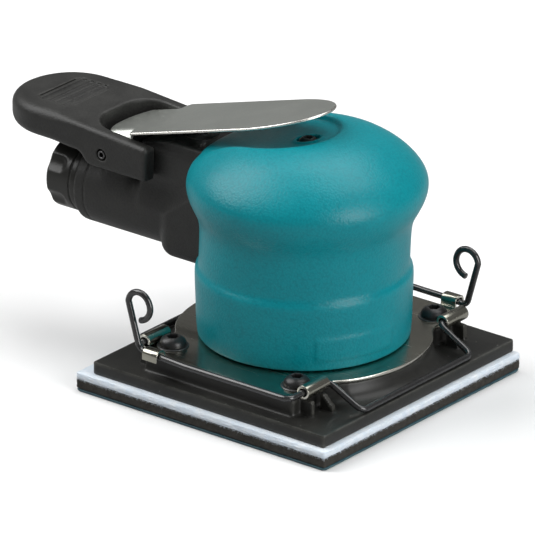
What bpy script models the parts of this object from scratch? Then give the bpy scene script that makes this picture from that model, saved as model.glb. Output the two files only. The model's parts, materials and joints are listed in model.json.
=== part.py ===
"""Palm orbital sander, air driven, with a square clip-on pad.

+Z is up and the handle points to -X. The origin is where the motor's axis meets the pad's
working face. Dimensions are millimetres, and the helpers turn them into metres.
"""

import math

import bmesh
import bpy
from mathutils import Matrix, Vector

MM = 0.001
GAP = 0.3

# Pad, from its working face up
PAD_SIDE = 101.6
PAD_SHIFT = (-1.6, -0.8)
FACE_Z = (0.0, 0.7)
FOAM_Z = (1.0, 3.9)
FELT_Z = (4.2, 6.2)
BASE_Z = (6.5, 10.6)
BASE_X, BASE_Y = 94.6, 99.0
DECK_TOP = 16.1
PLATE_Z = (16.4, 17.6)
PLATE_NOSE_R = 41.8
PLATE_NOSE_ANGLE = 33.0
PLATE_SIDE_Y = 44.5
KNUCKLE_X, KNUCKLE_Z = 32.5, 18.9
KNUCKLE_Y = (30.5, 41.5)
KNUCKLE_R, KNUCKLE_BORE = 2.4, 1.35
CATCH_X = (-26.5, -20.5)
CATCH_PATH = ((-43.5, 17.0), (-45.2, 17.0), (-46.0, 15.4), (-49.6, 15.4), (-49.6, 20.7), (-46.8, 20.7))
CATCH_THICK = 1.0
SCREW_X, SCREW_Y = 25.4, 35.5
SCREW_HOLE_R, SCREW_R = 2.3, 1.9
SCREW_HEAD_R, SCREW_HEAD_H = 4.4, 3.0

# Wire clips
WIRE_R = 1.05
JAW_X, JAW_Y, JAW_Z = 46.0, 28.4, 11.9
ARM_Y = -48.6
LOOP_CENTRE, LOOP_R, LOOP_END_R = (-30.1, 34.1), 4.35, 5.2

# Housing, as radius and height
COVER_OUTER = (
    (12.0, 87.2), (19.8, 85.7), (25.5, 83.6), (29.8, 81.0), (33.2, 78.3), (36.2, 75.2),
    (38.2, 72.2), (38.7, 69.2), (38.2, 65.6), (36.6, 62.1), (35.0, 59.0), (34.2, 56.0),
    (33.9, 52.0), (33.9, 43.5), (34.3, 41.5), (34.9, 40.0), (35.1, 38.0), (34.8, 30.0),
    (34.7, 21.0), (34.2, 18.6), (33.2, 18.0),
)
COVER_TOP = 87.8
COVER_LEAN, LEAN_FROM = 0.045, 41.0
COVER_BORE, COVER_CEILING = 31.3, 76.0
HOUSING_R, HOUSING_Z = 31.0, (18.6, 75.7)
SKIRT_R, SKIRT_TOP = 28.7, 33.7
MOTOR_BORE, MOTOR_CEILING = 23.0, 72.6
RECESS_X, RECESS_REACH, RECESS_HALF = -9.0, 19.0, 17.9
SLOT_HALF, SLOT_BOTTOM = 15.6, 34.4
TOP_SCREW_X = 1.6

# Air motor
ORBIT = 1.2
SHAFT_R, FIT_R = 4.0, 4.3
BEARING_IN, BEARING_MID, BEARING_OUT, BEARING_SEAT = 5.6, 6.4, 7.9, 8.2
LOCK_RING_Z = (34.2, 37.6)
FRONT_PLATE_Z, REAR_PLATE_Z = (38.0, 43.7), (66.4, 72.2)
CYLINDER_Z, CYLINDER_R, CYLINDER_BORE, CYLINDER_SHIFT = (44.0, 66.1), 22.7, 17.5, 1.5
ROTOR_Z, ROTOR_R = (44.3, 65.8), 15.7
VANES, VANE_SLOT, VANE_THICK, VANE_REACH = 5, 2.4, 1.8, (8.4, 15.4)
BALANCER_Z, BALANCER_R = (20.5, 32.5), 19.0
POCKET_TOP = 27.0
PAD_BEARING_Z = (21.0, 26.0)
SPINDLE_FLANGE_Z, SPINDLE_FLANGE_R = (16.4, 18.8), 11.0
LEG_PITCH, LEG_R, LEG_WAIST = 17.0, 3.5, 2.7

# Handle, along -X
HANDLE_Z, HANDLE_R, HANDLE_END = 48.8, 14.0, -84.8
HANDLE_BORE, HANDLE_BORE_END = 10.5, -62.0
ROOT_X, ROOT_HALF, ROOT_Z = (-46.0, -27.0), 15.3, (35.2, 75.5)
VALVE_BLOCK_X, VALVE_BLOCK_HALF, VALVE_BLOCK_TOP = (-58.0, -40.0), 13.5, 72.0
LUG_X, LUG_HALF, LUG_TOP = (-73.0, -63.0), 11.6, 70.5
COLLAR_X, COLLAR_R, COLLAR_BORE = (-98.0, -85.1), 12.2, 8.3
SCALLOPS, SCALLOP_R = 6, 3.4
BUSHING_X, BUSHING_R, BUSHING_BORE = (-99.0, -64.0), 8.0, 5.8
MUFFLER_X = (-84.4, -66.0)
REST_HALF, REST_END, REST_ARM_X, REST_ARM_HALF = 19.0, -116.0, -50.0, 14.5
REST_Z, REST_ARM_Z, SCOOP_X, SCOOP_CORNER = (65.7, 75.6), (62.0, 72.4), -77.5, 9.0

# Throttle
PIVOT_X, PIVOT_Z = -68.7, 66.9
PIN_R, PIN_BORE, PIN_HOLE_R, PIN_HALF = 1.5, 0.8, 1.8, 18.8
LEVER_X, LEVER_Z, LEVER_SLOPE, LEVER_THICK = -57.3, 76.2, 16.1, 1.2
LEVER_HALF, LEVER_TIP, LEVER_SHOULDER = 16.3, 69.8, 45.5
LEVER_NECK_HALF, LEVER_NECK, LEVER_TAIL = 13.2, -3.4, -18.2
EAR_Y, EAR_X, EAR_Z = (12.0, 13.2), (-71.4, -66.0), (63.8, 72.4)
RECESS_SLOPE, RECESS_FLOOR_Z = 10.6, 71.4
VALVE_X, VALVE_BORE, VALVE_BOTTOM = -42.0, 5.5, 43.5
STEM_R, STEM_Z, STEM_HEAD_R, STEM_HEAD_Z = 2.0, (52.0, 79.5), 4.6, (52.0, 54.0)
VALVE_BUSH_Z, VALVE_BUSH_BORE = (58.0, 75.2), 2.3
SPRING_R, SPRING_WIRE, SPRING_Z, SPRING_TURNS = 3.6, 0.5, (44.4, 51.2), 5

FINE, COARSE = 36, 18


# Scene and materials

def clear_scene():
    for old in list(bpy.data.objects):
        bpy.data.objects.remove(old, do_unlink=True)


def new_collection(name):
    collection = bpy.data.collections.new(name)
    bpy.context.scene.collection.children.link(collection)
    return collection


def new_material(name, colour, roughness, metallic):
    material = bpy.data.materials.new(name)
    material.use_nodes = True
    shader = material.node_tree.nodes["Principled BSDF"]
    shader.inputs["Base Color"].default_value = (*colour, 1.0)
    shader.inputs["Roughness"].default_value = roughness
    shader.inputs["Metallic"].default_value = metallic
    return material


clear_scene()
SANDER = new_collection("orbital_sander")
CUTTERS = new_collection("cutters")
TEAL = new_material("teal_overmould", (0.01, 0.24, 0.27), 0.42, 0.0)
BLACK = new_material("black_composite", (0.030, 0.032, 0.030), 0.55, 0.0)
DARK_STEEL = new_material("blackened_steel", (0.025, 0.025, 0.026), 0.35, 0.6)
STEEL = new_material("nickel_steel", (0.55, 0.53, 0.48), 0.25, 1.0)
ALUMINIUM = new_material("cast_aluminium", (0.60, 0.61, 0.62), 0.45, 1.0)
BRONZE = new_material("bronze", (0.55, 0.38, 0.18), 0.40, 1.0)
RUBBER = new_material("rubber", (0.02, 0.02, 0.02), 0.80, 0.0)
FELT = new_material("white_felt", (0.75, 0.80, 0.88), 0.95, 0.0)
FOAM = new_material("black_foam", (0.03, 0.028, 0.024), 0.90, 0.0)
FILM = new_material("blue_film", (0.05, 0.14, 0.17), 0.40, 0.0)


# Placing

def joint_empty(name, location):
    """An empty on a joint's axis, which the moving pieces are parented to."""
    empty = bpy.data.objects.new(name, None)
    empty.location = Vector(location) * MM
    SANDER.objects.link(empty)
    bpy.context.view_layer.update()
    return empty


def make_part(obj, material, parent=None):
    SANDER.objects.link(obj)
    obj.data.materials.clear()
    obj.data.materials.append(material)
    if parent:
        obj.parent = parent
        obj.matrix_parent_inverse = parent.matrix_world.inverted()
    return obj


def make_cutter(obj):
    CUTTERS.objects.link(obj)
    obj.hide_render = True
    obj.display_type = "WIRE"
    return obj


def combine(obj, other, operation):
    """Cut other from obj, or join it on, with a live Boolean."""
    boolean = obj.modifiers.new(other.name, "BOOLEAN")
    boolean.operation = operation
    boolean.object = make_cutter(other)


def cut(obj, *others):
    for other in others:
        combine(obj, other, "DIFFERENCE")


def join(obj, *others):
    for other in others:
        combine(obj, other, "UNION")


# Shapes

def from_bmesh(name, form, smooth=False):
    mesh = bpy.data.meshes.new(name)
    form.to_mesh(mesh)
    form.free()
    if smooth:
        mesh.shade_smooth()
        mesh.set_sharp_from_angle(angle=math.radians(35))
    return bpy.data.objects.new(name, mesh)


def box(name, low, high):
    low, high = Vector(low) * MM, Vector(high) * MM
    form = bmesh.new()
    bmesh.ops.create_cube(form, size=1.0, matrix=Matrix.Diagonal((*(high - low), 1.0)))
    obj = from_bmesh(name, form)
    obj.location = (low + high) / 2
    return obj


def cylinder(name, radius, start, length, axis="Z", sides=COARSE):
    """A cylinder from the point start, length along the axis."""
    form = bmesh.new()
    bmesh.ops.create_cone(
        form, cap_ends=True, segments=sides, radius1=radius * MM, radius2=radius * MM, depth=length * MM
    )
    obj = from_bmesh(name, form, smooth=True)
    turn = {"X": (0, math.pi / 2, 0), "Y": (-math.pi / 2, 0, 0), "Z": (0, 0, 0)}[axis]
    along = {"X": Vector((1, 0, 0)), "Y": Vector((0, 1, 0)), "Z": Vector((0, 0, 1))}[axis]
    obj.rotation_euler = turn
    obj.location = (Vector(start) + along * length / 2) * MM
    return obj


def turned(name, profile, centre=(0.0, 0.0), sides=FINE, closed=False, axis="Z", start=0.0):
    """A profile of (radius, height) turned round Z, or round X from the place start."""
    mesh = bpy.data.meshes.new(name)
    count = len(profile)
    edges = [(i, i + 1) for i in range(count - 1)] + ([(count - 1, 0)] if closed else [])
    mesh.from_pydata([(r * MM, 0.0, z * MM) for r, z in profile], edges, [])
    obj = bpy.data.objects.new(name, mesh)
    screw = obj.modifiers.new("turn", "SCREW")
    screw.steps = screw.render_steps = sides
    screw.use_merge_vertices = True
    screw.merge_threshold = 1e-6
    screw.use_smooth_shade = True
    obj.location = (centre[0] * MM, centre[1] * MM, 0.0)
    if axis == "X":
        obj.rotation_euler = (0, math.pi / 2, 0)
        obj.location = (start * MM, centre[0] * MM, centre[1] * MM)
    return obj


def ring(name, outer, inner, span, centre=(0.0, 0.0), sides=COARSE, axis="Z"):
    low, high = span
    start = low if axis == "X" else 0.0
    low, high = (0.0, high - low) if axis == "X" else (low, high)
    profile = [(outer, high), (outer, low), (inner, low), (inner, high)]
    return turned(name, profile, centre, sides, closed=True, axis=axis, start=start)


def arc(centre, radius, first, last, steps):
    """Points on a circle, between two angles in degrees."""
    angles = [math.radians(first + (last - first) * i / steps) for i in range(steps + 1)]
    return [(centre[0] + radius * math.cos(a), centre[1] + radius * math.sin(a)) for a in angles]


def ellipse(centre, along, across, first, last, steps):
    points = arc((0.0, 0.0), 1.0, first, last, steps)
    return [(centre[0] + along * x, centre[1] + across * y) for x, y in points]


def filleted(points, radius, closed=False, steps=4):
    """The corners of a path replaced by arcs of the radius, or of what fits."""
    points = [Vector((*p, 0.0)) if len(p) == 2 else Vector(p) for p in points]
    count = len(points)
    result = []
    for i, corner in enumerate(points):
        if not closed and i in (0, count - 1):
            result.append(corner)
            continue
        before = points[i - 1] - corner
        after = points[(i + 1) % count] - corner
        spread = before.angle(after)
        if spread > math.radians(170):
            result.append(corner)
            continue
        reach = min(radius / math.tan(spread / 2), 0.45 * before.length, 0.45 * after.length)
        curve_r = reach * math.tan(spread / 2)
        inward = (before.normalized() + after.normalized()).normalized()
        centre = corner + inward * curve_r / math.sin(spread / 2)
        first = corner + before.normalized() * reach - centre
        last = corner + after.normalized() * reach - centre
        sweep = first.angle(last)
        for k in range(steps + 1):
            t = k / steps
            mixed = first * math.sin((1 - t) * sweep) + last * math.sin(t * sweep)
            result.append(centre + mixed / math.sin(sweep))
    return result


def mesh_from_curve(curve_obj):
    """The curve object as a welded mesh object in the same place."""
    bpy.context.scene.collection.objects.link(curve_obj)
    bpy.context.view_layer.update()
    evaluated = curve_obj.evaluated_get(bpy.context.evaluated_depsgraph_get())
    mesh = bpy.data.meshes.new_from_object(evaluated)
    form = bmesh.new()
    form.from_mesh(mesh)
    bmesh.ops.remove_doubles(form, verts=form.verts, dist=1e-6)
    bmesh.ops.recalc_face_normals(form, faces=form.faces)
    form.to_mesh(mesh)
    form.free()
    name, place = curve_obj.name, curve_obj.matrix_world.copy()
    bpy.data.objects.remove(curve_obj, do_unlink=True)
    obj = bpy.data.objects.new(name, mesh)
    obj.matrix_world = place
    return obj


def plate(name, outline, span, facing="Z"):
    """A flat outline given thickness, lying flat, or standing across Y or X."""
    curve = bpy.data.curves.new(name, "CURVE")
    curve.dimensions = "2D"
    curve.fill_mode = "BOTH"
    curve.extrude = (span[1] - span[0]) / 2 * MM
    spline = curve.splines.new("POLY")
    spline.points.add(len(outline) - 1)
    for point, place in zip(spline.points, outline):
        point.co = (place[0] * MM, place[1] * MM, 0.0, 1.0)
    spline.use_cyclic_u = True
    obj = bpy.data.objects.new(name, curve)
    middle = (span[0] + span[1]) / 2 * MM
    obj.location = {"Z": (0, 0, middle), "Y": (0, middle, 0), "X": (middle, 0, 0)}[facing]
    quarter = math.pi / 2
    obj.rotation_euler = {"Z": (0, 0, 0), "Y": (quarter, 0, 0), "X": (quarter, 0, quarter)}[facing]
    return mesh_from_curve(obj)


def ribbon(path, thickness):
    """The closed outline of a strip that follows a flat path."""
    path = [Vector(p) for p in path]
    left, right = [], []
    for i, point in enumerate(path):
        ahead = (path[min(i + 1, len(path) - 1)] - point).normalized()
        behind = (point - path[max(i - 1, 0)]).normalized()
        along = (ahead + behind).normalized()
        normal = Vector((-along.y, along.x))
        stretch = 1.0 if i in (0, len(path) - 1) else 1.0 / max(0.5, along.dot(ahead))
        left.append(point + normal * stretch * thickness / 2)
        right.append(point - normal * stretch * thickness / 2)
    return [tuple(p) for p in left + right[::-1]]


def wire(name, points, radius, resolution=2):
    curve = bpy.data.curves.new(name, "CURVE")
    curve.dimensions = "3D"
    curve.bevel_depth = radius * MM
    curve.bevel_resolution = resolution
    curve.use_fill_caps = True
    spline = curve.splines.new("POLY")
    spline.points.add(len(points) - 1)
    for point, place in zip(spline.points, points):
        point.co = (*(Vector(place) * MM), 1.0)
    return bpy.data.objects.new(name, curve)


# Pad

PAD_AXIS = joint_empty("pad_axis", (ORBIT, 0.0, SPINDLE_FLANGE_Z[0]))


def pad_layer(name, span, material):
    low = (PAD_SHIFT[0] - PAD_SIDE / 2, PAD_SHIFT[1] - PAD_SIDE / 2, span[0])
    high = (PAD_SHIFT[0] + PAD_SIDE / 2, PAD_SHIFT[1] + PAD_SIDE / 2, span[1])
    make_part(box(name, low, high), material, PAD_AXIS)


def plate_outline():
    """Steel plate and deck in plan: a round nose at each end, notched beside its knuckles."""
    nose = arc((0.0, 0.0), PLATE_NOSE_R, -PLATE_NOSE_ANGLE, PLATE_NOSE_ANGLE, 12)
    edge = KNUCKLE_X - 1.6
    inner = KNUCKLE_Y[0] - 1.2
    half = [(edge, -PLATE_SIDE_Y), (edge, -inner)] + nose + [(edge, inner), (edge, PLATE_SIDE_Y)]
    outline = half + [(-x, -y) for x, y in half]
    return [p[:2] for p in filleted(outline, 3.0, closed=True, steps=3)]


def screw_places():
    return [(x, y) for x in (SCREW_X, -SCREW_X) for y in (-SCREW_Y, SCREW_Y)]


def pad_base():
    base = box("pad_base", (-BASE_X / 2, -BASE_Y / 2, BASE_Z[0]), (BASE_X / 2, BASE_Y / 2, BASE_Z[1]))
    join(base, plate("deck", plate_outline(), (BASE_Z[1] - 1.0, DECK_TOP)))
    for i, (sx, sy) in enumerate(((1, 1), (1, -1), (-1, 1), (-1, -1))):
        xs = sorted((sx * (KNUCKLE_X - 4.0), sx * (KNUCKLE_X + 2.0)))
        ys = sorted((sy * (KNUCKLE_Y[0] + 1.0), sy * (KNUCKLE_Y[1] - 1.0)))
        join(base, box(f"pillar_{i}", (xs[0], ys[0], BASE_Z[1] - 0.6), (xs[1], ys[1], DECK_TOP - 0.2)))
    for i, (x, y) in enumerate(screw_places()):
        cut(base, cylinder(f"base_hole_{i}", SCREW_HOLE_R, (x, y, BASE_Z[1] - 1.5), 8.0))
    cut(base, cylinder("pad_screw_hole", SCREW_HOLE_R, (ORBIT, 0, 5.0), 13.0))
    cut(base, cylinder("pad_screw_seat", 5.4, (ORBIT, 0, 5.0), 5.2))
    make_part(base, BLACK, PAD_AXIS)


def clip_plate():
    steel = plate("clip_plate", plate_outline(), PLATE_Z)
    for i, (sx, sy) in enumerate(((1, 1), (1, -1), (-1, 1), (-1, -1))):
        start = min(sy * KNUCKLE_Y[0], sy * KNUCKLE_Y[1])
        length = KNUCKLE_Y[1] - KNUCKLE_Y[0]
        join(steel, cylinder(f"knuckle_{i}", KNUCKLE_R, (sx * KNUCKLE_X, start, KNUCKLE_Z), length, "Y", 16))
        bore_start = (sx * KNUCKLE_X, start - 2, KNUCKLE_Z)
        cut(steel, cylinder(f"knuckle_bore_{i}", KNUCKLE_BORE, bore_start, length + 4, "Y", 16))
    for side in (1, -1):
        section = [(side * y, z) for y, z in ribbon(CATCH_PATH, CATCH_THICK)]
        span = sorted((side * CATCH_X[0], side * CATCH_X[1]))
        join(steel, plate(f"catch_{side}", section, span, "X"))
    for i, (x, y) in enumerate(screw_places()):
        cut(steel, cylinder(f"plate_hole_{i}", SCREW_HOLE_R, (x, y, 15.0), 5.0))
    cut(steel, cylinder("spindle_hole", SPINDLE_FLANGE_R + 0.5, (ORBIT, 0, 15.0), 5.0, sides=FINE))
    make_part(steel, STEEL, PAD_AXIS)


def button_screw(name, place, seat, tip, head_r, head_h, shank_r, material, parent=None):
    """A round-topped screw with a hexagon socket, its head's underside at the height seat."""
    top = seat + head_h
    profile = [
        (0.0, top), (0.45 * head_r, top - 0.05), (0.75 * head_r, seat + 0.72 * head_h),
        (0.95 * head_r, seat + 0.40 * head_h), (head_r, seat + 0.15 * head_h), (head_r, seat),
        (shank_r, seat), (shank_r, tip + 0.5), (shank_r - 0.5, tip), (0.0, tip),
    ]
    screw = turned(name, profile, place, COARSE)
    cut(screw, cylinder(f"{name}_socket", 0.38 * head_r, (*place, top - 0.6 * head_h), head_h, sides=6))
    make_part(screw, material, parent)


def wire_clip(name, side, parent):
    """A clip bent from one wire: finger loop, arm, knuckle, jaw bar and second knuckle."""
    loop = []
    steps = 16
    for i in range(steps + 1):
        turn = math.radians(-82 + 257 * i / steps)
        radius = LOOP_END_R + (LOOP_R - LOOP_END_R) * min(1.0, 2.5 * i / steps)
        across, rise = radius * math.cos(turn), radius * math.sin(turn)
        loop.append((LOOP_CENTRE[0] + across, -46.7, LOOP_CENTRE[1] + rise))
    body = [
        loop[-1], (-30.0, -46.7, 18.9), (-23.5, -47.6, 18.9), (-10.0, -48.3, 18.6),
        (KNUCKLE_X, ARM_Y, KNUCKLE_Z),
        (KNUCKLE_X, -JAW_Y - 0.6, KNUCKLE_Z), (JAW_X, -JAW_Y, JAW_Z), (JAW_X, JAW_Y, JAW_Z),
        (KNUCKLE_X, JAW_Y + 0.6, KNUCKLE_Z), (KNUCKLE_X, KNUCKLE_Y[1] + 1.0, KNUCKLE_Z),
    ]
    points = loop[:-1] + filleted(body, 2.4, steps=4)
    turned_round = [(side * p[0], side * p[1], p[2]) for p in points]
    make_part(wire(name, turned_round, WIRE_R), DARK_STEEL, parent)


def build_pad():
    pad_layer("pad_face", FACE_Z, FILM)
    pad_layer("foam_pad", FOAM_Z, FOAM)
    pad_layer("felt_layer", FELT_Z, FELT)
    pad_base()
    clip_plate()
    for i, place in enumerate(screw_places()):
        name = f"clip_screw_{i + 1}"
        seat = PLATE_Z[1] + GAP
        button_screw(name, place, seat, 9.6, SCREW_HEAD_R, SCREW_HEAD_H, SCREW_R, DARK_STEEL, PAD_AXIS)
    flange, top = SPINDLE_FLANGE_Z, POCKET_TOP - 0.6
    profile = [
        (0.0, top), (SHAFT_R, top), (SHAFT_R, flange[1]),
        (SPINDLE_FLANGE_R, flange[1]), (SPINDLE_FLANGE_R, flange[0]), (0.0, flange[0]),
    ]
    spindle = turned("pad_spindle", profile, (ORBIT, 0.0), COARSE)
    cut(spindle, cylinder("spindle_thread", 2.2, (ORBIT, 0, 15.0), 9.0))
    make_part(spindle, STEEL, PAD_AXIS)
    make_part(ring("pad_bearing_inner", BEARING_IN, FIT_R, PAD_BEARING_Z, (ORBIT, 0.0)), STEEL, PAD_AXIS)
    profile = [(0.0, 22.5), (SCREW_R, 22.5), (SCREW_R, 9.9), (5.0, 9.9), (5.0, 7.0), (0.0, 7.0)]
    pad_screw = turned("pad_screw", profile, (ORBIT, 0.0), COARSE)
    cut(pad_screw, cylinder("pad_screw_socket", 2.0, (ORBIT, 0, 6.0), 3.0, sides=6))
    make_part(pad_screw, DARK_STEEL, PAD_AXIS)
    front = joint_empty("front_clip_axis", (KNUCKLE_X, 0.0, KNUCKLE_Z))
    rear = joint_empty("rear_clip_axis", (-KNUCKLE_X, 0.0, KNUCKLE_Z))
    for empty in (front, rear):
        empty.parent = PAD_AXIS
        empty.matrix_parent_inverse = PAD_AXIS.matrix_world.inverted()
    bpy.context.view_layer.update()
    wire_clip("front_clip", 1, front)
    wire_clip("rear_clip", -1, rear)


# Housing

def grip_cover():
    """A turned body that leans slightly forward from its waist up, with the lever's recess in its top."""
    inside = [(COVER_BORE, 18.0), (COVER_BORE, COVER_CEILING), (0.0, COVER_CEILING)]
    profile = [(0.0, COVER_TOP), *COVER_OUTER, *inside]
    cover = turned("grip_cover", profile, sides=48)
    for vertex in cover.data.vertices:
        outer = math.hypot(vertex.co.x, vertex.co.y) > (COVER_BORE + 0.5) * MM
        if outer or vertex.co.z > (COVER_CEILING + 0.5) * MM:
            vertex.co.x += COVER_LEAN * max(0.0, vertex.co.z - LEAN_FROM * MM)
    outline = [(RECESS_X + RECESS_REACH * x, RECESS_HALF * y) for x, y in arc((0.0, 0.0), 1.0, -90, 90, 14)]
    outline += [(-45.0, RECESS_HALF), (-45.0, -RECESS_HALF)]
    recess = plate("recess", outline, (0.0, 30.0))
    slope = math.radians(RECESS_SLOPE)
    recess.rotation_euler = (0, -slope, 0)
    floor = Vector((0.0, 0.0, RECESS_FLOOR_Z - math.tan(slope) * PIVOT_X))
    up = Vector((-math.sin(slope), 0.0, math.cos(slope)))
    recess.location = (floor + up * 15.0) * MM
    cut(cover, recess)
    cut(cover, box("handle_slot", (-45, -SLOT_HALF, SLOT_BOTTOM), (-25, SLOT_HALF, COVER_CEILING - 0.1)))
    cut(cover, box("lever_slot", (-45, -SLOT_HALF, COVER_CEILING - 3.0), (-31.2, SLOT_HALF, 92.0)))
    cut(cover, cylinder("screw_seat", 4.7, (TOP_SCREW_X, 0, 80.2), 8.0))
    cut(cover, cylinder("cover_hole", SCREW_HOLE_R, (TOP_SCREW_X, 0, 74.0), 8.0))
    make_part(cover, TEAL)


def motor_housing():
    profile = [
        (0.0, HOUSING_Z[1]), (HOUSING_R, HOUSING_Z[1]), (HOUSING_R, HOUSING_Z[0]), (SKIRT_R, HOUSING_Z[0]),
        (SKIRT_R, SKIRT_TOP), (MOTOR_BORE, SKIRT_TOP), (MOTOR_BORE, MOTOR_CEILING), (0.0, MOTOR_CEILING),
    ]
    housing = turned("motor_housing", profile)
    cut(housing, cylinder("housing_hole", SCREW_HOLE_R, (TOP_SCREW_X, 0, 71.0), 8.0))
    cut(housing, cylinder("air_port", 3.0, (-34, 0, 58.0), 14.0, "X"))
    make_part(housing, ALUMINIUM)


def support_leg(name, place):
    low, high = PLATE_Z[1] + GAP, SKIRT_TOP - GAP
    profile = [
        (0.0, high), (LEG_R, high), (LEG_R, high - 3), (LEG_WAIST, high - 5), (LEG_WAIST, low + 5),
        (LEG_R, low + 3), (LEG_R, low), (0.0, low),
    ]
    make_part(turned(name, profile, place, 16), RUBBER)


def build_housing():
    grip_cover()
    motor_housing()
    button_screw("cover_screw", (TOP_SCREW_X, 0.0), 80.5, 74.0, 4.3, 2.8, SCREW_R, DARK_STEEL)
    for i, (sx, sy) in enumerate(((1, -1), (1, 1), (-1, 1), (-1, -1))):
        support_leg(f"support_leg_{i + 1}", (sx * LEG_PITCH, sy * LEG_PITCH))


# Air motor

ROTOR_AXIS = joint_empty("rotor_axis", (0.0, 0.0, ROTOR_Z[0]))


def end_plate(name, span):
    make_part(ring(name, CYLINDER_R, BEARING_SEAT, span, sides=FINE), BRONZE)


def bearing(name, span):
    make_part(ring(f"{name}_outer", BEARING_OUT, BEARING_MID, span), STEEL)
    make_part(ring(f"{name}_inner", BEARING_IN, FIT_R, span), STEEL, ROTOR_AXIS)


def rotor():
    core = ring("rotor", ROTOR_R, FIT_R, ROTOR_Z, sides=FINE)
    for i in range(VANES):
        angle = 2 * math.pi * i / VANES
        low = (VANE_REACH[0] - 0.4, -VANE_SLOT / 2, ROTOR_Z[0] - 1)
        slot = box(f"vane_slot_{i}", low, (ROTOR_R + 1, VANE_SLOT / 2, ROTOR_Z[1] + 1))
        spin(slot, angle)
        cut(core, slot)
        low, high = (VANE_REACH[0], -VANE_THICK / 2, ROTOR_Z[0]), (VANE_REACH[1], VANE_THICK / 2, ROTOR_Z[1])
        vane = box(f"vane_{i + 1}", low, high)
        spin(vane, angle)
        make_part(vane, BRONZE, ROTOR_AXIS)
    make_part(core, STEEL, ROTOR_AXIS)


def spin(obj, angle):
    """Turn an object round the motor's axis."""
    obj.location = Matrix.Rotation(angle, 4, "Z") @ obj.location
    obj.rotation_euler = (0, 0, angle)


def shaft_balancer():
    top = REAR_PLATE_Z[1]
    profile = [
        (0.0, top), (SHAFT_R, top), (SHAFT_R, BALANCER_Z[1]), (BALANCER_R, BALANCER_Z[1]),
        (BALANCER_R, BALANCER_Z[0]), (0.0, BALANCER_Z[0]),
    ]
    shaft = turned("shaft_balancer", profile)
    cut(shaft, cylinder("bearing_pocket", BEARING_SEAT, (ORBIT, 0, 18.0), POCKET_TOP - 18.0))
    cut(shaft, box("lightened_side", (11.0, -25, 18.0), (25, 25, BALANCER_Z[1] - 3.0)))
    make_part(shaft, STEEL, ROTOR_AXIS)


def build_motor():
    end_plate("front_end_plate", FRONT_PLATE_Z)
    end_plate("rear_end_plate", REAR_PLATE_Z)
    bearing("front_bearing", (38.3, 43.4))
    bearing("rear_bearing", (66.7, 71.8))
    height = CYLINDER_Z[1] - CYLINDER_Z[0]
    liner = cylinder("motor_cylinder", CYLINDER_R, (0, 0, CYLINDER_Z[0]), height, sides=FINE)
    cut(liner, cylinder("cylinder_bore", CYLINDER_BORE, (0, CYLINDER_SHIFT, 40.0), 30.0, sides=FINE))
    make_part(liner, ALUMINIUM)
    make_part(ring("lock_ring", CYLINDER_R, 13.0, LOCK_RING_Z, sides=FINE), STEEL)
    rotor()
    shaft_balancer()
    pad_race = ring("pad_bearing_outer", BEARING_OUT, BEARING_MID, PAD_BEARING_Z, (ORBIT, 0.0))
    make_part(pad_race, STEEL, ROTOR_AXIS)


# Handle

def handle_body():
    body = cylinder("handle_body", HANDLE_R, (HANDLE_END, 0, HANDLE_Z), -30 - HANDLE_END, "X", FINE)
    join(body, box("root_block", (ROOT_X[0], -ROOT_HALF, ROOT_Z[0]), (ROOT_X[1], ROOT_HALF, ROOT_Z[1])))
    high = (VALVE_BLOCK_X[1], VALVE_BLOCK_HALF, VALVE_BLOCK_TOP)
    join(body, box("valve_block", (VALVE_BLOCK_X[0], -VALVE_BLOCK_HALF, HANDLE_Z), high))
    join(body, box("pin_lug", (LUG_X[0], -LUG_HALF, HANDLE_Z), (LUG_X[1], LUG_HALF, LUG_TOP)))
    cut(body, cylinder("housing_fit", HOUSING_R + GAP, (0, 0, 30.0), 60.0, sides=FINE))
    depth = HANDLE_BORE_END - HANDLE_END + 5
    cut(body, cylinder("exhaust_bore", HANDLE_BORE, (HANDLE_END - 5, 0, HANDLE_Z), depth, "X", FINE))
    cut(body, cylinder("valve_bore", VALVE_BORE, (VALVE_X, 0, VALVE_BOTTOM), 40.0))
    cut(body, cylinder("lug_bore", PIN_HOLE_R, (PIVOT_X, -20, PIVOT_Z), 40.0, "Y", 16))
    make_part(body, BLACK)


def hand_rest():
    """A rounded slab over the handle's end, with two arms that carry the lever's pin."""
    inner, outer = REST_ARM_HALF, REST_HALF
    outline = ellipse((-97.0, 0.0), -97.0 - REST_END, outer, 90, 270, 16)
    outline += [(REST_ARM_X, -outer), (REST_ARM_X, -inner)]
    fork = [(REST_ARM_X, -inner), (SCOOP_X, -inner), (SCOOP_X, inner), (REST_ARM_X, inner)]
    scoop = filleted(fork, SCOOP_CORNER, steps=6)
    outline += [tuple(p)[:2] for p in scoop[1:-1]]
    outline += [(REST_ARM_X, inner), (REST_ARM_X, outer)]
    rest = plate("hand_rest", outline, (58.0, 80.0))
    profile = [
        (REST_END - 2, REST_Z[0] + 1.5), (-108.0, REST_Z[0]), (-78.5, REST_Z[0]), (-75.5, REST_ARM_Z[0]),
        (REST_ARM_X + 2, REST_ARM_Z[0]), (REST_ARM_X + 2, REST_ARM_Z[1]),
        (-76.0, REST_Z[1]), (REST_END - 2, REST_Z[1]),
    ]
    rounded = [tuple(p)[:2] for p in filleted(profile, 2.5, closed=True, steps=3)]
    side = plate("rest_profile", rounded, (-25, 25), "Y")
    combine(rest, side, "INTERSECT")
    cut(rest, cylinder("rest_pin_bore", PIN_HOLE_R, (PIVOT_X, -30, PIVOT_Z), 60.0, "Y", 16))
    make_part(rest, BLACK)


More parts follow.
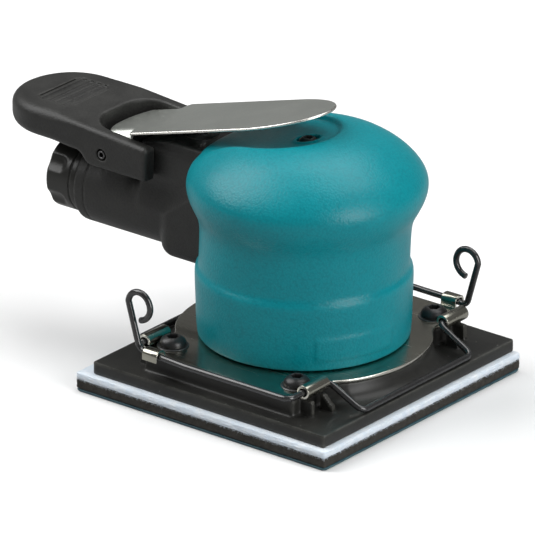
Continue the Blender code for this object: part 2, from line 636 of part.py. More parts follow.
def exhaust_collar(parent):
    length = COLLAR_X[1] - COLLAR_X[0]
    collar = ring("exhaust_collar", COLLAR_R, COLLAR_BORE, COLLAR_X, (0.0, HANDLE_Z), FINE, "X")
    for i in range(SCALLOPS):
        angle = 2 * math.pi * (i + 0.5) / SCALLOPS
        reach = COLLAR_R + 2.0
        place = (COLLAR_X[0] - 3.0, reach * math.cos(angle), HANDLE_Z + reach * math.sin(angle))
        cut(collar, cylinder(f"scallop_{i}", SCALLOP_R, place, length - 1.0, "X", 16))
    make_part(collar, BLACK, parent)


def build_handle():
    handle_body()
    hand_rest()
    pin = cylinder("lever_pin", PIN_R, (PIVOT_X, -PIN_HALF, PIVOT_Z), 2 * PIN_HALF, "Y", 16)
    cut(pin, cylinder("pin_bore", PIN_BORE, (PIVOT_X, -PIN_HALF - 2, PIVOT_Z), 2 * PIN_HALF + 4, "Y", 12))
    make_part(pin, STEEL)
    collar_axis = joint_empty("collar_axis", (COLLAR_X[1], 0.0, HANDLE_Z))
    exhaust_collar(collar_axis)
    make_part(ring("inlet_bushing", BUSHING_R, BUSHING_BORE, BUSHING_X, (0.0, HANDLE_Z), FINE, "X"), STEEL)
    felt_r = (HANDLE_BORE - GAP, BUSHING_R + GAP)
    make_part(ring("muffler_felt", *felt_r, MUFFLER_X, (0.0, HANDLE_Z), COARSE, "X"), FELT)
    make_part(cylinder("inlet_screen", BUSHING_BORE - GAP, (-74.0, 0, HANDLE_Z), 0.8, "X"), STEEL)


# Throttle

def throttle_lever(parent):
    outline = ellipse((LEVER_SHOULDER, 0.0), LEVER_TIP - LEVER_SHOULDER, LEVER_HALF, -90, 90, 16)
    neck = [(LEVER_NECK + 1.5, LEVER_HALF), (LEVER_NECK, LEVER_NECK_HALF)]
    tail = ellipse((-8.5, 0.0), LEVER_TAIL + 8.5, LEVER_NECK_HALF, 90, -90, 12)
    outline += neck + [(x, y) for x, y in tail] + [(x, -y) for x, y in reversed(neck)]
    lever = plate("throttle_lever", outline, (-LEVER_THICK / 2, LEVER_THICK / 2))
    lever.location = Vector((LEVER_X, 0.0, LEVER_Z)) * MM
    lever.rotation_euler = (0, -math.radians(LEVER_SLOPE), 0)
    bpy.context.view_layer.update()
    for side in (1, -1):
        ys = sorted((side * EAR_Y[0], side * EAR_Y[1]))
        join(lever, box(f"ear_{side}", (EAR_X[0], ys[0], EAR_Z[0]), (EAR_X[1], ys[1], EAR_Z[1])))
    cut(lever, cylinder("ear_bore", PIN_HOLE_R, (PIVOT_X, -20, PIVOT_Z), 40.0, "Y", 16))
    make_part(lever, STEEL, parent)


def valve_spring():
    points = []
    per_turn = 8
    for i in range(SPRING_TURNS * per_turn + 1):
        angle = 2 * math.pi * i / per_turn
        height = SPRING_Z[0] + (SPRING_Z[1] - SPRING_Z[0]) * i / (SPRING_TURNS * per_turn)
        points.append((VALVE_X + SPRING_R * math.cos(angle), SPRING_R * math.sin(angle), height))
    make_part(wire("valve_spring", points, SPRING_WIRE, 1), STEEL)


def build_throttle():
    pivot = joint_empty("lever_axis", (PIVOT_X, 0.0, PIVOT_Z))
    throttle_lever(pivot)
    stem = turned(
        "valve_stem",
        [
            (0.0, STEM_Z[1]), (STEM_R - 0.6, STEM_Z[1]), (STEM_R, STEM_Z[1] - 0.7), (STEM_R, STEM_HEAD_Z[1]),
            (STEM_HEAD_R, STEM_HEAD_Z[1]), (STEM_HEAD_R, STEM_HEAD_Z[0]), (0.0, STEM_HEAD_Z[0]),
        ],
        (VALVE_X, 0.0),
        COARSE,
    )
    make_part(stem, STEEL, joint_empty("valve_axis", (VALVE_X, 0.0, STEM_Z[0])))
    make_part(ring("valve_bushing", VALVE_BORE - GAP, VALVE_BUSH_BORE, VALVE_BUSH_Z, (VALVE_X, 0.0)), BRONZE)
    valve_spring()


build_pad()
build_housing()
build_motor()
build_handle()
build_throttle()
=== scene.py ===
"""Looks of the palm orbital sander: moulded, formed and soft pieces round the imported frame.

Shapes are worked out in millimetres and written to the meshes in metres. A field is a signed
distance, negative inside the piece, and every moulded piece is the skin where its field is zero.
"""

import json
import math

import bmesh
import bpy
import numpy as np
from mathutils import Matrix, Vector


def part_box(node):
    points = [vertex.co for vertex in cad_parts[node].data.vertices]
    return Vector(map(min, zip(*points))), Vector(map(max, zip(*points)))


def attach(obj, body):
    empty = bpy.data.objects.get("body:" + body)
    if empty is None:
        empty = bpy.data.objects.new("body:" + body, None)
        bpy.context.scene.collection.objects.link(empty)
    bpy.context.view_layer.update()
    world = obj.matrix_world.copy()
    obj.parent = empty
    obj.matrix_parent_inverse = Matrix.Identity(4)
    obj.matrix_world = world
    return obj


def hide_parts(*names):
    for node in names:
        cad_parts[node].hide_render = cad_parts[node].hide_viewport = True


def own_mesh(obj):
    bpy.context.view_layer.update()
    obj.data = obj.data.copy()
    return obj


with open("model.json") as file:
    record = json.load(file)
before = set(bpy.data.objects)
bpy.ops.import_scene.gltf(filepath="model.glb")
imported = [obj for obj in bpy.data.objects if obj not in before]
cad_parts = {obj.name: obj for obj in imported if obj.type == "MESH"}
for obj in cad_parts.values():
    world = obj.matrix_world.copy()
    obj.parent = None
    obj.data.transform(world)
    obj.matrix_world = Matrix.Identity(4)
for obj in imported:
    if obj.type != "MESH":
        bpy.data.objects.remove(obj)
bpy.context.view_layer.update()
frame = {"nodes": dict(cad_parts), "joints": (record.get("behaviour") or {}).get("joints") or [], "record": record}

MM = 0.001


def corners(node):
    """A node's lowest and highest corners in millimetres."""
    low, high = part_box(node)
    return np.array(low) / MM, np.array(high) / MM


def joint(name):
    """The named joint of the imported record."""
    return next(j for j in frame["joints"] if j["name"] == name)


# ---------------- distances

def length(*parts):
    return np.sqrt(sum(part * part for part in parts))


def sd_box(x, y, z, low, high, r=0.0):
    """Rounded box: distance to the box shrunk by r, less r."""
    centre = [(a + b) / 2 for a, b in zip(low, high)]
    half = [(b - a) / 2 - r for a, b in zip(low, high)]
    q = [np.abs(p - c) - h for p, c, h in zip((x, y, z), centre, half)]
    outside = length(*[np.maximum(part, 0) for part in q])
    return outside + np.minimum(np.maximum(np.maximum(q[0], q[1]), q[2]), 0) - r


def slab(flat, height, low, high, r=0.0):
    """A flat outline's distance given thickness from low to high, with edges of radius r."""
    out = flat + r
    end = np.abs(height - (low + high) / 2) - (high - low) / 2 + r
    return length(np.maximum(out, 0), np.maximum(end, 0)) + np.minimum(np.maximum(out, end), 0) - r


def sd_rod(a, b, along, radius, low, high, r=0.0):
    """Rounded cylinder: a and b run across it, along runs from low to high."""
    return slab(length(a, b) - radius, along, low, high, r)


def blend_join(a, b, k):
    """Union with a fillet about k wide: the lesser distance, less a parabola where they are close."""
    h = np.maximum(k - np.abs(a - b), 0) / k
    return np.minimum(a, b) - h * h * k / 4


def blend_cut(a, b, k):
    """a without b, with its new edge rounded about k wide."""
    return -blend_join(-a, b, k)


def outline_field(outline, step=0.2, margin=6.0):
    """Signed distance to a closed flat outline, tabulated once and read by straight interpolation."""
    pts = np.asarray(outline, float)
    low, high = pts.min(0) - margin, pts.max(0) + margin
    u = np.arange(low[0], high[0] + step, step)
    v = np.arange(low[1], high[1] + step, step)
    gu, gv = np.meshgrid(u, v, indexing="ij")
    best = np.full(gu.shape, 1e9)
    inside = np.zeros(gu.shape, bool)
    for (ax, ay), (bx, by) in zip(pts, np.roll(pts, -1, axis=0)):
        ex, ey = bx - ax, by - ay
        t = np.clip(((gu - ax) * ex + (gv - ay) * ey) / max(ex * ex + ey * ey, 1e-12), 0, 1)
        best = np.minimum(best, length(gu - ax - t * ex, gv - ay - t * ey))
        if ay != by:
            inside ^= ((ay > gv) != (by > gv)) & (gu < (bx - ax) * (gv - ay) / (by - ay) + ax)
    table = np.where(inside, -best, best)

    def field(p, q):
        i = np.clip((p - low[0]) / step, 0, len(u) - 1.001)
        j = np.clip((q - low[1]) / step, 0, len(v) - 1.001)
        i0, j0 = i.astype(int), j.astype(int)
        fi, fj = i - i0, j - j0
        return (
            table[i0, j0] * (1 - fi) * (1 - fj) + table[i0 + 1, j0] * fi * (1 - fj)
            + table[i0, j0 + 1] * (1 - fi) * fj + table[i0 + 1, j0 + 1] * fi * fj
        )

    return field


# ---------------- meshes

def mesh_piece(name, points, faces, smooth=35.0):
    """A mesh object at the origin from points in millimetres, shaded smooth up to an angle."""
    mesh = bpy.data.meshes.new(name)
    faces = faces.tolist() if isinstance(faces, np.ndarray) else faces
    mesh.from_pydata((np.asarray(points, float) * MM).tolist(), [], faces)
    mesh.validate()
    mesh.shade_smooth()
    if smooth:
        mesh.set_sharp_from_angle(angle=math.radians(smooth))
    obj = bpy.data.objects.new(name, mesh)
    bpy.context.scene.collection.objects.link(obj)
    return obj


def weld(mesh):
    """Meeting points joined, faces turned outward, and edges over 40 degrees kept crisp."""
    form = bmesh.new()
    form.from_mesh(mesh)
    bmesh.ops.remove_doubles(form, verts=form.verts, dist=1e-6)
    bmesh.ops.recalc_face_normals(form, faces=form.faces)
    form.to_mesh(mesh)
    form.free()
    mesh.shade_smooth()
    mesh.set_sharp_from_angle(angle=math.radians(40))


def take(array, axis, span):
    """The array cut down to a span along one axis."""
    chosen = [slice(None)] * array.ndim
    chosen[axis] = span
    return array[tuple(chosen)]


def skin(name, field, low, high, step, smooth=40.0):
    """Surface nets: one point in each cell that the field's zero crosses, at the mean of its edges'
    crossings, then slid along the field's slope onto the zero itself."""
    start = np.asarray(low, float) - 1.5 * step
    axes = [np.arange(s, h + 2.5 * step, step) for s, h in zip(start, high)]
    value = field(*np.meshgrid(*axes, indexing="ij")).astype(float)
    cells = tuple(n - 1 for n in value.shape)
    total, count = np.zeros((*cells, 3)), np.zeros(cells)
    crossings = []
    for axis in range(3):
        a, b = take(value, axis, slice(0, -1)), take(value, axis, slice(1, None))
        crossing = (a < 0) != (b < 0)
        t = np.where(crossing, a / np.where(crossing, a - b, 1.0), 0.0)
        crossings.append((crossing, a < 0))
        others = [k for k in range(3) if k != axis]
        for du in (0, 1):
            for dv in (0, 1):
                part = [slice(None)] * 3
                part[others[0]] = slice(du, du + cells[others[0]])
                part[others[1]] = slice(dv, dv + cells[others[1]])
                hit = crossing[tuple(part)]
                count += hit
                total[..., axis] += t[tuple(part)]
                total[..., others[0]] += hit * du
                total[..., others[1]] += hit * dv
    active = count > 0
    index = np.full(cells, -1)
    index[active] = np.arange(int(active.sum()))
    points = start + (np.argwhere(active) + total[active] / count[active][:, None]) * step
    nudge = 0.1 * step
    for _ in range(3):
        here = field(*points.T)
        ahead = [field(*(points + nudge * way).T) for way in np.eye(3)]
        back = [field(*(points - nudge * way).T) for way in np.eye(3)]
        slope = (np.stack(ahead, axis=1) - np.stack(back, axis=1)) / (2 * nudge)
        size = np.maximum((slope ** 2).sum(1), 0.2)
        move = -(here / size)[:, None] * slope
        reach = np.linalg.norm(move, axis=1)[:, None]
        points = points + move * np.minimum(1.0, 0.6 * step / np.maximum(reach, 1e-9))
    quads = []
    for axis in range(3):
        crossing, inside = crossings[axis]
        u, v = (axis + 1) % 3, (axis + 2) % 3
        spans = [slice(None)] * 3
        spans[u] = slice(1, -1)
        spans[v] = slice(1, -1)
        i = np.argwhere(crossing[tuple(spans)])
        i[:, u] += 1
        i[:, v] += 1
        ring = []
        for du, dv in ((-1, -1), (0, -1), (0, 0), (-1, 0)):
            c = i.copy()
            c[:, u] += du
            c[:, v] += dv
            ring.append(index[tuple(c.T)])
        quad = np.stack(ring, axis=1)
        flip = ~inside[tuple(i.T)]
        quad[flip] = quad[flip][:, ::-1]
        quads.append(quad)
    return mesh_piece(name, points, np.concatenate(quads), smooth)


def grid_faces(rows, columns, wrap_rows=False, wrap_columns=True):
    """Quads of a grid of points, row by row, closed on itself where it wraps."""
    r = np.arange(rows if wrap_rows else rows - 1)
    c = np.arange(columns if wrap_columns else columns - 1)
    r, c = [g.ravel() for g in np.meshgrid(r, c, indexing="ij")]
    r1, c1 = (r + 1) % rows, (c + 1) % columns
    return np.stack([r * columns + c, r * columns + c1, r1 * columns + c1, r1 * columns + c], axis=1)


def turned(name, profile, centre, axis="Z", sides=96, shape=None):
    """A profile of (radius, height) carried round an axis. shape(row, angle) may alter the radius,
    as a hexagon socket does. The ends close to a point each."""
    profile = np.asarray(profile, float)
    angle = 2 * np.pi * np.arange(sides) / sides
    radius = np.repeat(profile[:, :1], sides, axis=1)
    if shape is not None:
        radius = shape(np.arange(len(profile))[:, None], angle[None, :], radius)
    a, b, along = radius * np.cos(angle), radius * np.sin(angle), np.repeat(profile[:, 1:], sides, axis=1)
    places = {"Z": (a, b, along), "X": (along, a, b), "Y": (b, along, a)}[axis]
    points = np.stack([middle + place for middle, place in zip(centre, places)], axis=-1)
    closed = np.allclose(profile[0], profile[-1])
    if closed:
        points = points[:-1]
    faces = grid_faces(len(points), sides, wrap_rows=closed)
    obj = mesh_piece(name, points.reshape(-1, 3), faces)
    weld(obj.data)
    return obj


def arc(centre, radius, first, last, steps):
    """Points on a circle, between two angles in degrees."""
    a = np.radians(np.linspace(first, last, steps + 1))
    return np.stack([centre[0] + radius * np.cos(a), centre[1] + radius * np.sin(a)], axis=1)


def filleted(points, radius, closed=False, steps=8):
    """The corners of a path replaced by arcs of the radius, or of what fits."""
    points = [Vector((*p, 0.0)) if len(p) == 2 else Vector(p) for p in points]
    radii = radius if isinstance(radius, (list, tuple)) else [radius] * len(points)
    result = []
    for i, corner in enumerate(points):
        before, after = points[i - 1] - corner, points[(i + 1) % len(points)] - corner
        opening = before.angle(after)
        if (not closed and i in (0, len(points) - 1)) or opening > math.radians(175) or radii[i] <= 0:
            result.append(tuple(corner))
            continue
        reach = min(radii[i] / math.tan(opening / 2), 0.48 * before.length, 0.48 * after.length)
        bend = reach * math.tan(opening / 2)
        inward = (before.normalized() + after.normalized()).normalized()
        centre = corner + inward * bend / math.sin(opening / 2)
        first = corner + before.normalized() * reach - centre
        last = corner + after.normalized() * reach - centre
        sweep = first.angle(last)
        for k in range(steps + 1):
            t = k / steps
            spoke = (first * math.sin((1 - t) * sweep) + last * math.sin(t * sweep)) / math.sin(sweep)
            result.append(tuple(centre + spoke))
    return np.array(result)


def spaced(path, step):
    """A path's points moved to even spacing along it."""
    path = np.asarray(path, float)
    run = np.concatenate([[0.0], np.cumsum(np.linalg.norm(np.diff(path, axis=0), axis=1))])
    at = np.linspace(0, run[-1], max(2, int(run[-1] / step)))
    return np.stack([np.interp(at, run, path[:, k]) for k in range(path.shape[1])], axis=1)


def rod_along(name, path, radius, sides=20, ends=3):
    """A round rod carried along a path: its rings turn with the path and close in quarter-round ends. Each
    ring's first spoke is the last ring's, less its part along the path."""
    path = np.asarray(path, float)
    along = np.gradient(path, axis=0)
    along /= np.linalg.norm(along, axis=1)[:, None]
    side = np.zeros_like(path)
    first = np.cross(along[0], (0.3, 0.5, 0.8))
    side[0] = first / np.linalg.norm(first)
    for i in range(1, len(path)):
        carried = side[i - 1] - along[i] * np.dot(side[i - 1], along[i])
        side[i] = carried / np.linalg.norm(carried)
    up = np.cross(along, side)
    angle = 2 * np.pi * np.arange(sides) / sides
    turn = np.linspace(0, np.pi / 2, ends + 2)[:-1]

    def end_ring(i, way, t):
        place = path[i] + way * along[i] * 0.35 * radius * np.cos(t)
        return place, side[i], up[i], radius * (0.65 + 0.35 * np.sin(t))

    rims = [end_ring(0, -1, t) for t in turn]
    rims += [(p, s, w, radius) for p, s, w in zip(path, side, up)]
    rims += [end_ring(-1, 1, t) for t in turn[::-1]]
    rings = [p + r * (np.cos(angle)[:, None] * s + np.sin(angle)[:, None] * w) for p, s, w, r in rims]
    points = np.concatenate(rings)
    faces = grid_faces(len(rings), sides)
    caps = [list(range(sides))[::-1], list(range(len(points) - sides, len(points)))]
    return mesh_piece(name, points, faces.tolist() + caps, smooth=60.0)


def plate(name, outline, span, bevel, facing="Z"):
    """A flat outline given thickness with rolled edges. facing turns it upright across X or Y.
    Its faces take the first material and its rim the second."""
    curve = bpy.data.curves.new(name, "CURVE")
    curve.dimensions = "2D"
    curve.fill_mode = "BOTH"
    curve.bevel_depth = bevel * MM
    curve.bevel_resolution = 2
    curve.offset = -bevel * MM
    curve.extrude = ((span[1] - span[0]) / 2 - bevel) * MM
    spline = curve.splines.new("POLY")
    spline.points.add(len(outline) - 1)
    for point, at in zip(spline.points, outline):
        point.co = (at[0] * MM, at[1] * MM, 0.0, 1.0)
    spline.use_cyclic_u = True
    source = bpy.data.objects.new(name + "_outline", curve)
    bpy.context.scene.collection.objects.link(source)
    bpy.context.view_layer.update()
    solid = source.evaluated_get(bpy.context.evaluated_depsgraph_get())
    mesh = bpy.data.meshes.new_from_object(solid)
    bpy.data.objects.remove(source, do_unlink=True)
    tilt = np.array([abs(face.normal.z) for face in mesh.polygons])
    mesh.polygons.foreach_set("material_index", (tilt < 0.9).astype(np.int32))
    count = len(mesh.vertices)
    co = np.empty(count * 3)
    mesh.vertices.foreach_get("co", co)
    co = co.reshape(-1, 3) / MM
    middle = (span[0] + span[1]) / 2
    if facing == "Y":
        co = np.stack([co[:, 0], middle - co[:, 2], co[:, 1]], axis=1)
    elif facing == "X":
        co = np.stack([middle + co[:, 2], co[:, 0], co[:, 1]], axis=1)
    else:
        co[:, 2] += middle
    mesh.vertices.foreach_set("co", (co * MM).astype(np.float32).ravel())
    weld(mesh)
    obj = bpy.data.objects.new(name, mesh)
    bpy.context.scene.collection.objects.link(obj)
    return obj


def strip_outline(path, thickness):
    """The closed outline of a strip of even thickness that follows a flat path."""
    path = np.asarray(path, float)[:, :2]
    along = np.gradient(path, axis=0)
    along /= np.linalg.norm(along, axis=1)[:, None]
    normal = np.stack([-along[:, 1], along[:, 0]], axis=1) * thickness / 2
    return np.concatenate([path + normal, (path - normal)[::-1]])


def finish(obj, material, body, slot, *nodes):
    """One material, or a pair of them for faces and rim, and the body and nodes of the record. The slot is not
    used.
    """
    for each in material if isinstance(material, tuple) else (material,):
        obj.data.materials.append(each)
    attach(obj, body)
    if nodes:
        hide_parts(*nodes)
    return obj


# ---------------- finishes

def node_group(name, inputs, outputs):
    tree = bpy.data.node_groups.new(name, "ShaderNodeTree")
    kind = "NodeSocketFloat"
    for label, default in inputs:
        tree.interface.new_socket(label, in_out="INPUT", socket_type=kind).default_value = default
    for label in outputs:
        tree.interface.new_socket(label, in_out="OUTPUT", socket_type=kind)
    return tree, tree.nodes.new("NodeGroupInput").outputs, tree.nodes.new("NodeGroupOutput").inputs


def add(tree, kind, links=(), **settings):
    """A shader node with its settings; links are (input, source socket or value)."""
    node = tree.nodes.new("ShaderNode" + kind)
    for key, value in settings.items():
        setattr(node, key, value)
    for key, source in links:
        if isinstance(source, bpy.types.NodeSocket):
            tree.links.new(source, node.inputs[key])
        else:
            node.inputs[key].default_value = source
    return node


def maths(tree, operation, a, b):
    return add(tree, "Math", [(0, a), (1, b)], operation=operation).outputs[0]


def sized_place(tree, size, stretch=(1.0, 1.0, 1.0)):
    """Object coordinates counted in units of size millimetres."""
    place = add(tree, "TexCoord").outputs["Object"]
    per_metre = maths(tree, "DIVIDE", 1000.0, size)
    counted = add(tree, "VectorMath", [(0, place), ("Scale", per_metre)], operation="SCALE").outputs[0]
    return add(tree, "Mapping", [("Vector", counted), ("Scale", stretch)]).outputs[0]


def noise(tree, at, scale=1.0, **sockets):
    return add(tree, "TexNoise", [("Vector", at), ("Scale", scale), *sockets.items()]).outputs["Fac"]


def spread(tree, value, low, high, to_low=0.0, to_high=1.0):
    """The value's span from low to high, laid over to_low to to_high."""
    spans = [("From Min", low), ("From Max", high), ("To Min", to_low), ("To Max", to_high)]
    return add(tree, "MapRange", [("Value", value), *spans]).outputs[0]


def make_grain():
    """Moulded leather grain: soft pebbles, size millimetres across, over a finer roughness. Its second output
    marks the hollows between the pebbles, for painted shade.
    """
    tree, given, out = node_group("moulded_grain", [("Size", 1.0), ("Fine", 0.3)], ["Height", "Painted Hollow Shade"])
    at = sized_place(tree, given["Size"])
    bent = add(tree, "TexNoise", [("Vector", at), ("Scale", 0.8), ("Detail", 2.0)]).outputs["Color"]
    moved = add(tree, "VectorMath", [(0, at), (1, bent)], operation="ADD").outputs[0]
    pebbles = [("Vector", moved), ("Scale", 1.0), ("Smoothness", 0.6)]
    away = add(tree, "TexVoronoi", pebbles, feature="SMOOTH_F1").outputs["Distance"]
    fine = maths(tree, "MULTIPLY", noise(tree, at, 3.2, Detail=3.0), given["Fine"])
    tree.links.new(maths(tree, "ADD", maths(tree, "SUBTRACT", 1.0, away), fine), out["Height"])
    tree.links.new(spread(tree, away, 0.35, 0.8), out["Painted Hollow Shade"])
    return tree


def make_smudge():
    """Slow cloudy patches, as handling leaves, with a few small specks of dust."""
    tree, given, out = node_group("smudge", [("Size", 12.0), ("Speck Size", 1.1)], ["Patch", "Speck"])
    cloud = noise(tree, sized_place(tree, given["Size"]), Detail=5.0, Roughness=0.6)
    tree.links.new(spread(tree, cloud, 0.35, 0.68), out["Patch"])
    dots = add(tree, "TexVoronoi", [("Vector", sized_place(tree, given["Speck Size"])), ("Scale", 0.45)])
    near = spread(tree, dots.outputs["Distance"], 0.05, 0.11, 1.0, 0.0)
    shade = add(tree, "SeparateColor", [("Color", dots.outputs["Color"])]).outputs[0]
    kept = maths(tree, "GREATER_THAN", shade, 0.72)
    tree.links.new(maths(tree, "MULTIPLY", near, kept), out["Speck"])
    return tree


def make_wear_and_edge_highlight():
    """Outward edges made paler, partly as wear where handling polishes or plating wears and partly as a painted
    edge highlight, broken up by noise.
    """
    tree, given, out = node_group("edge_wear_and_painted_highlight", [("Reach", 0.06), ("Break Size", 3.0)], ["Edge"])
    pointed = add(tree, "NewGeometry").outputs["Pointiness"]
    edge = spread(tree, pointed, 0.505, maths(tree, "ADD", 0.505, given["Reach"]))
    broken = spread(tree, noise(tree, sized_place(tree, given["Break Size"]), Detail=4.0), 0.25, 0.6)
    tree.links.new(maths(tree, "MULTIPLY", edge, broken), out["Edge"])
    return tree


def make_brushing():
    """Fine streaks along X, with a few longer scratches."""
    inputs, outputs = [("Width", 0.25), ("Scratch Width", 0.8)], ["Streak", "Scratch"]
    tree, given, out = node_group("brushing", inputs, outputs)
    streak = noise(tree, sized_place(tree, given["Width"], (0.03, 1.0, 1.0)), Detail=4.0)
    tree.links.new(spread(tree, streak, 0.3, 0.7), out["Streak"])
    along = sized_place(tree, given["Scratch Width"], (0.05, 1.3, 0.6))
    scratch = noise(tree, along, Detail=1.0, Distortion=0.6)
    tree.links.new(spread(tree, scratch, 0.70, 0.74), out["Scratch"])
    return tree


def make_pile():
    """Napped fibre and cell texture: close noise at two sizes."""
    tree, given, out = node_group("pile", [("Size", 0.5)], ["Height", "Tone"])
    at = sized_place(tree, given["Size"])
    near, wide = noise(tree, at, Detail=6.0, Roughness=0.7), noise(tree, at, 0.18, Detail=3.0)
    both = maths(tree, "ADD", near, wide)
    tree.links.new(both, out["Height"])
    tree.links.new(spread(tree, both, 0.75, 1.3), out["Tone"])
    return tree


GRAIN, SMUDGE, WEAR_AND_EDGE_HIGHLIGHT, BRUSHING, PILE = make_grain(), make_smudge(), make_wear_and_edge_highlight(), make_brushing(), make_pile()


def use(tree, group, **values):
    node = add(tree, "Group", node_tree=group)
    for key, value in values.items():
        node.inputs[key].default_value = value
    return node.outputs


def mixed(tree, factor, a, b):
    """Colour a turning into colour b as the factor goes from 0 to 1."""
    ends = [(key, c if isinstance(c, bpy.types.NodeSocket) else (*c, 1.0)) for key, c in ((6, a), (7, b))]
    return add(tree, "Mix", [(0, factor), *ends], data_type="RGBA").outputs[2]


def part_of(tree, value, share):
    return maths(tree, "MULTIPLY", value, share)


def new_material(name, metallic=0.0, **sockets):
    material = bpy.data.materials.new(name)
    material.use_nodes = True
    shader = material.node_tree.nodes["Principled BSDF"]
    shader.inputs["Metallic"].default_value = metallic
    for key, value in sockets.items():
        shader.inputs[key.replace("_", " ")].default_value = value
    return material, material.node_tree, shader


def surface(tree, shader, colour, roughness, height, strength, depth):
    """The colour, roughness and a relief of depth millimetres given to the shader."""
    tree.links.new(colour, shader.inputs["Base Color"])
    tree.links.new(roughness, shader.inputs["Roughness"])
    bump = add(tree, "Bump", [("Height", height), ("Strength", strength), ("Distance", depth * MM)])
    tree.links.new(bump.outputs["Normal"], shader.inputs["Normal"])


def moulded(name, dark, light, edge, rough, grain, depth, speck=0.0, patch=14.0, **sockets):
    """Moulded plastic or rubber: grain with painted shade in its hollows, cloudy handling marks, paler edges that
    are partly wear and partly painted highlight, and dust.
    """
    material, tree, shader = new_material(name, **sockets)
    texture, marks = use(tree, GRAIN, Size=grain), use(tree, SMUDGE, Size=patch)
    wear_and_highlight = use(tree, WEAR_AND_EDGE_HIGHLIGHT, Reach=0.05)
    colour = mixed(tree, marks["Patch"], dark, light)
    # Painted shade: the grain's hollows drawn darker.
    colour = mixed(tree, part_of(tree, texture["Painted Hollow Shade"], 0.35), colour, [0.6 * c for c in dark])
    # Outward edges paler: partly wear, partly painted edge highlight.
    colour = mixed(tree, part_of(tree, wear_and_highlight["Edge"], 0.6), colour, edge)
    if speck:
        colour = mixed(tree, part_of(tree, marks["Speck"], speck), colour, (0.35, 0.35, 0.33))
    roughness = spread(tree, marks["Patch"], 0, 1, rough - 0.05, rough + 0.06)
    surface(tree, shader, colour, roughness, texture["Height"], 0.6, depth)
    return material


def metal(name, dark, light, edge, rough, depth=0.03, metallic=1.0, **sockets):
    """Sheet or ground metal: brushing, a few scratches, cloudy tarnish and brighter edges that are partly wear and
    partly painted highlight.
    """
    material, tree, shader = new_material(name, metallic, **sockets)
    lines, marks, wear_and_highlight = use(tree, BRUSHING), use(tree, SMUDGE, Size=18.0), use(tree, WEAR_AND_EDGE_HIGHLIGHT, Reach=0.08)
    colour = mixed(tree, marks["Patch"], dark, light)
    colour = mixed(tree, part_of(tree, lines["Streak"], 0.25), colour, [0.8 * c for c in dark])
    # Outward edges brighter: partly wear, partly painted edge highlight.
    colour = mixed(tree, wear_and_highlight["Edge"], colour, edge)
    fine = spread(tree, lines["Streak"], 0, 1, rough - 0.05, rough + 0.07)
    roughness = maths(tree, "ADD", fine, part_of(tree, lines["Scratch"], 0.12))
    surface(tree, shader, colour, roughness, lines["Streak"], 0.25, depth)
    return material


def napped(name, dark, light, size, depth, rough, **sockets):
    """Fleece or cut foam: close fibre or cells."""
    material, tree, shader = new_material(name, **sockets)
    texture, marks = use(tree, PILE, Size=size), use(tree, SMUDGE, Size=9.0)
    colour = mixed(tree, texture["Tone"], dark, light)
    colour = mixed(tree, part_of(tree, marks["Patch"], 0.25), colour, dark)
    roughness = spread(tree, texture["Tone"], 0, 1, rough - 0.08, rough)
    surface(tree, shader, colour, roughness, texture["Height"], 0.8, depth)
    return material


TEAL = moulded(
    "teal_grip_rubber", (0.0, 0.235, 0.28), (0.0, 0.262, 0.308), (0.01, 0.32, 0.37), 0.36, 0.75, 0.11,
    patch=26.0, Specular_IOR_Level=0.30)
BLACK = moulded(
    "black_composite", (0.02, 0.02, 0.019), (0.032, 0.032, 0.03), (0.07, 0.07, 0.066), 0.46, 0.55, 0.10,
    Specular_IOR_Level=0.36)
BASE = moulded(
    "black_base_moulding", (0.016, 0.016, 0.015), (0.028, 0.028, 0.025), (0.09, 0.09, 0.08), 0.38, 0.55, 0.02,
    speck=0.5, Specular_IOR_Level=0.36)
COLLAR = moulded(
    "black_collar_plastic", (0.018, 0.018, 0.016), (0.026, 0.026, 0.023), (0.06, 0.06, 0.055), 0.34, 0.3,
    0.02, Specular_IOR_Level=0.4)
RUBBER = moulded("black_leg_rubber", (0.014,) * 3, (0.024,) * 3, (0.05,) * 3, 0.75, 0.5, 0.03)
VANE = moulded("vane_laminate", (0.20, 0.11, 0.045), (0.30, 0.18, 0.08), (0.40, 0.27, 0.14), 0.6, 0.35, 0.02)
FILM = moulded("blue_pad_film", (0.02, 0.06, 0.08), (0.032, 0.085, 0.105), (0.08, 0.17, 0.2), 0.35, 1.2, 0.02)
WIRE = metal(
    "black_coated_wire", (0.01, 0.01, 0.011), (0.016, 0.016, 0.017), (0.05, 0.05, 0.05), 0.24, 0.004,
    metallic=0.0, Coat_Weight=0.6, Coat_Roughness=0.12)
OXIDE = metal("black_oxide_steel", (0.03, 0.03, 0.031), (0.05,) * 3, (0.16,) * 3, 0.36, 0.006, metallic=0.75)
NICKEL = metal("nickel_plated_steel", (0.34, 0.335, 0.285), (0.43, 0.42, 0.36), (0.43, 0.42, 0.36), 0.2, 0.004)
# A paler copy of the nickel plating for rims and cut ends: painted edge highlight.
NICKEL_RIM_HIGHLIGHT = metal("nickel_rim_painted_highlight", (0.62, 0.61, 0.55), (0.76, 0.75, 0.68), (0.95, 0.93, 0.86), 0.22, 0.004)
LEVER = metal("stainless_lever", (0.72, 0.75, 0.70), (0.80, 0.83, 0.775), (0.80, 0.83, 0.775), 0.34, 0.01)
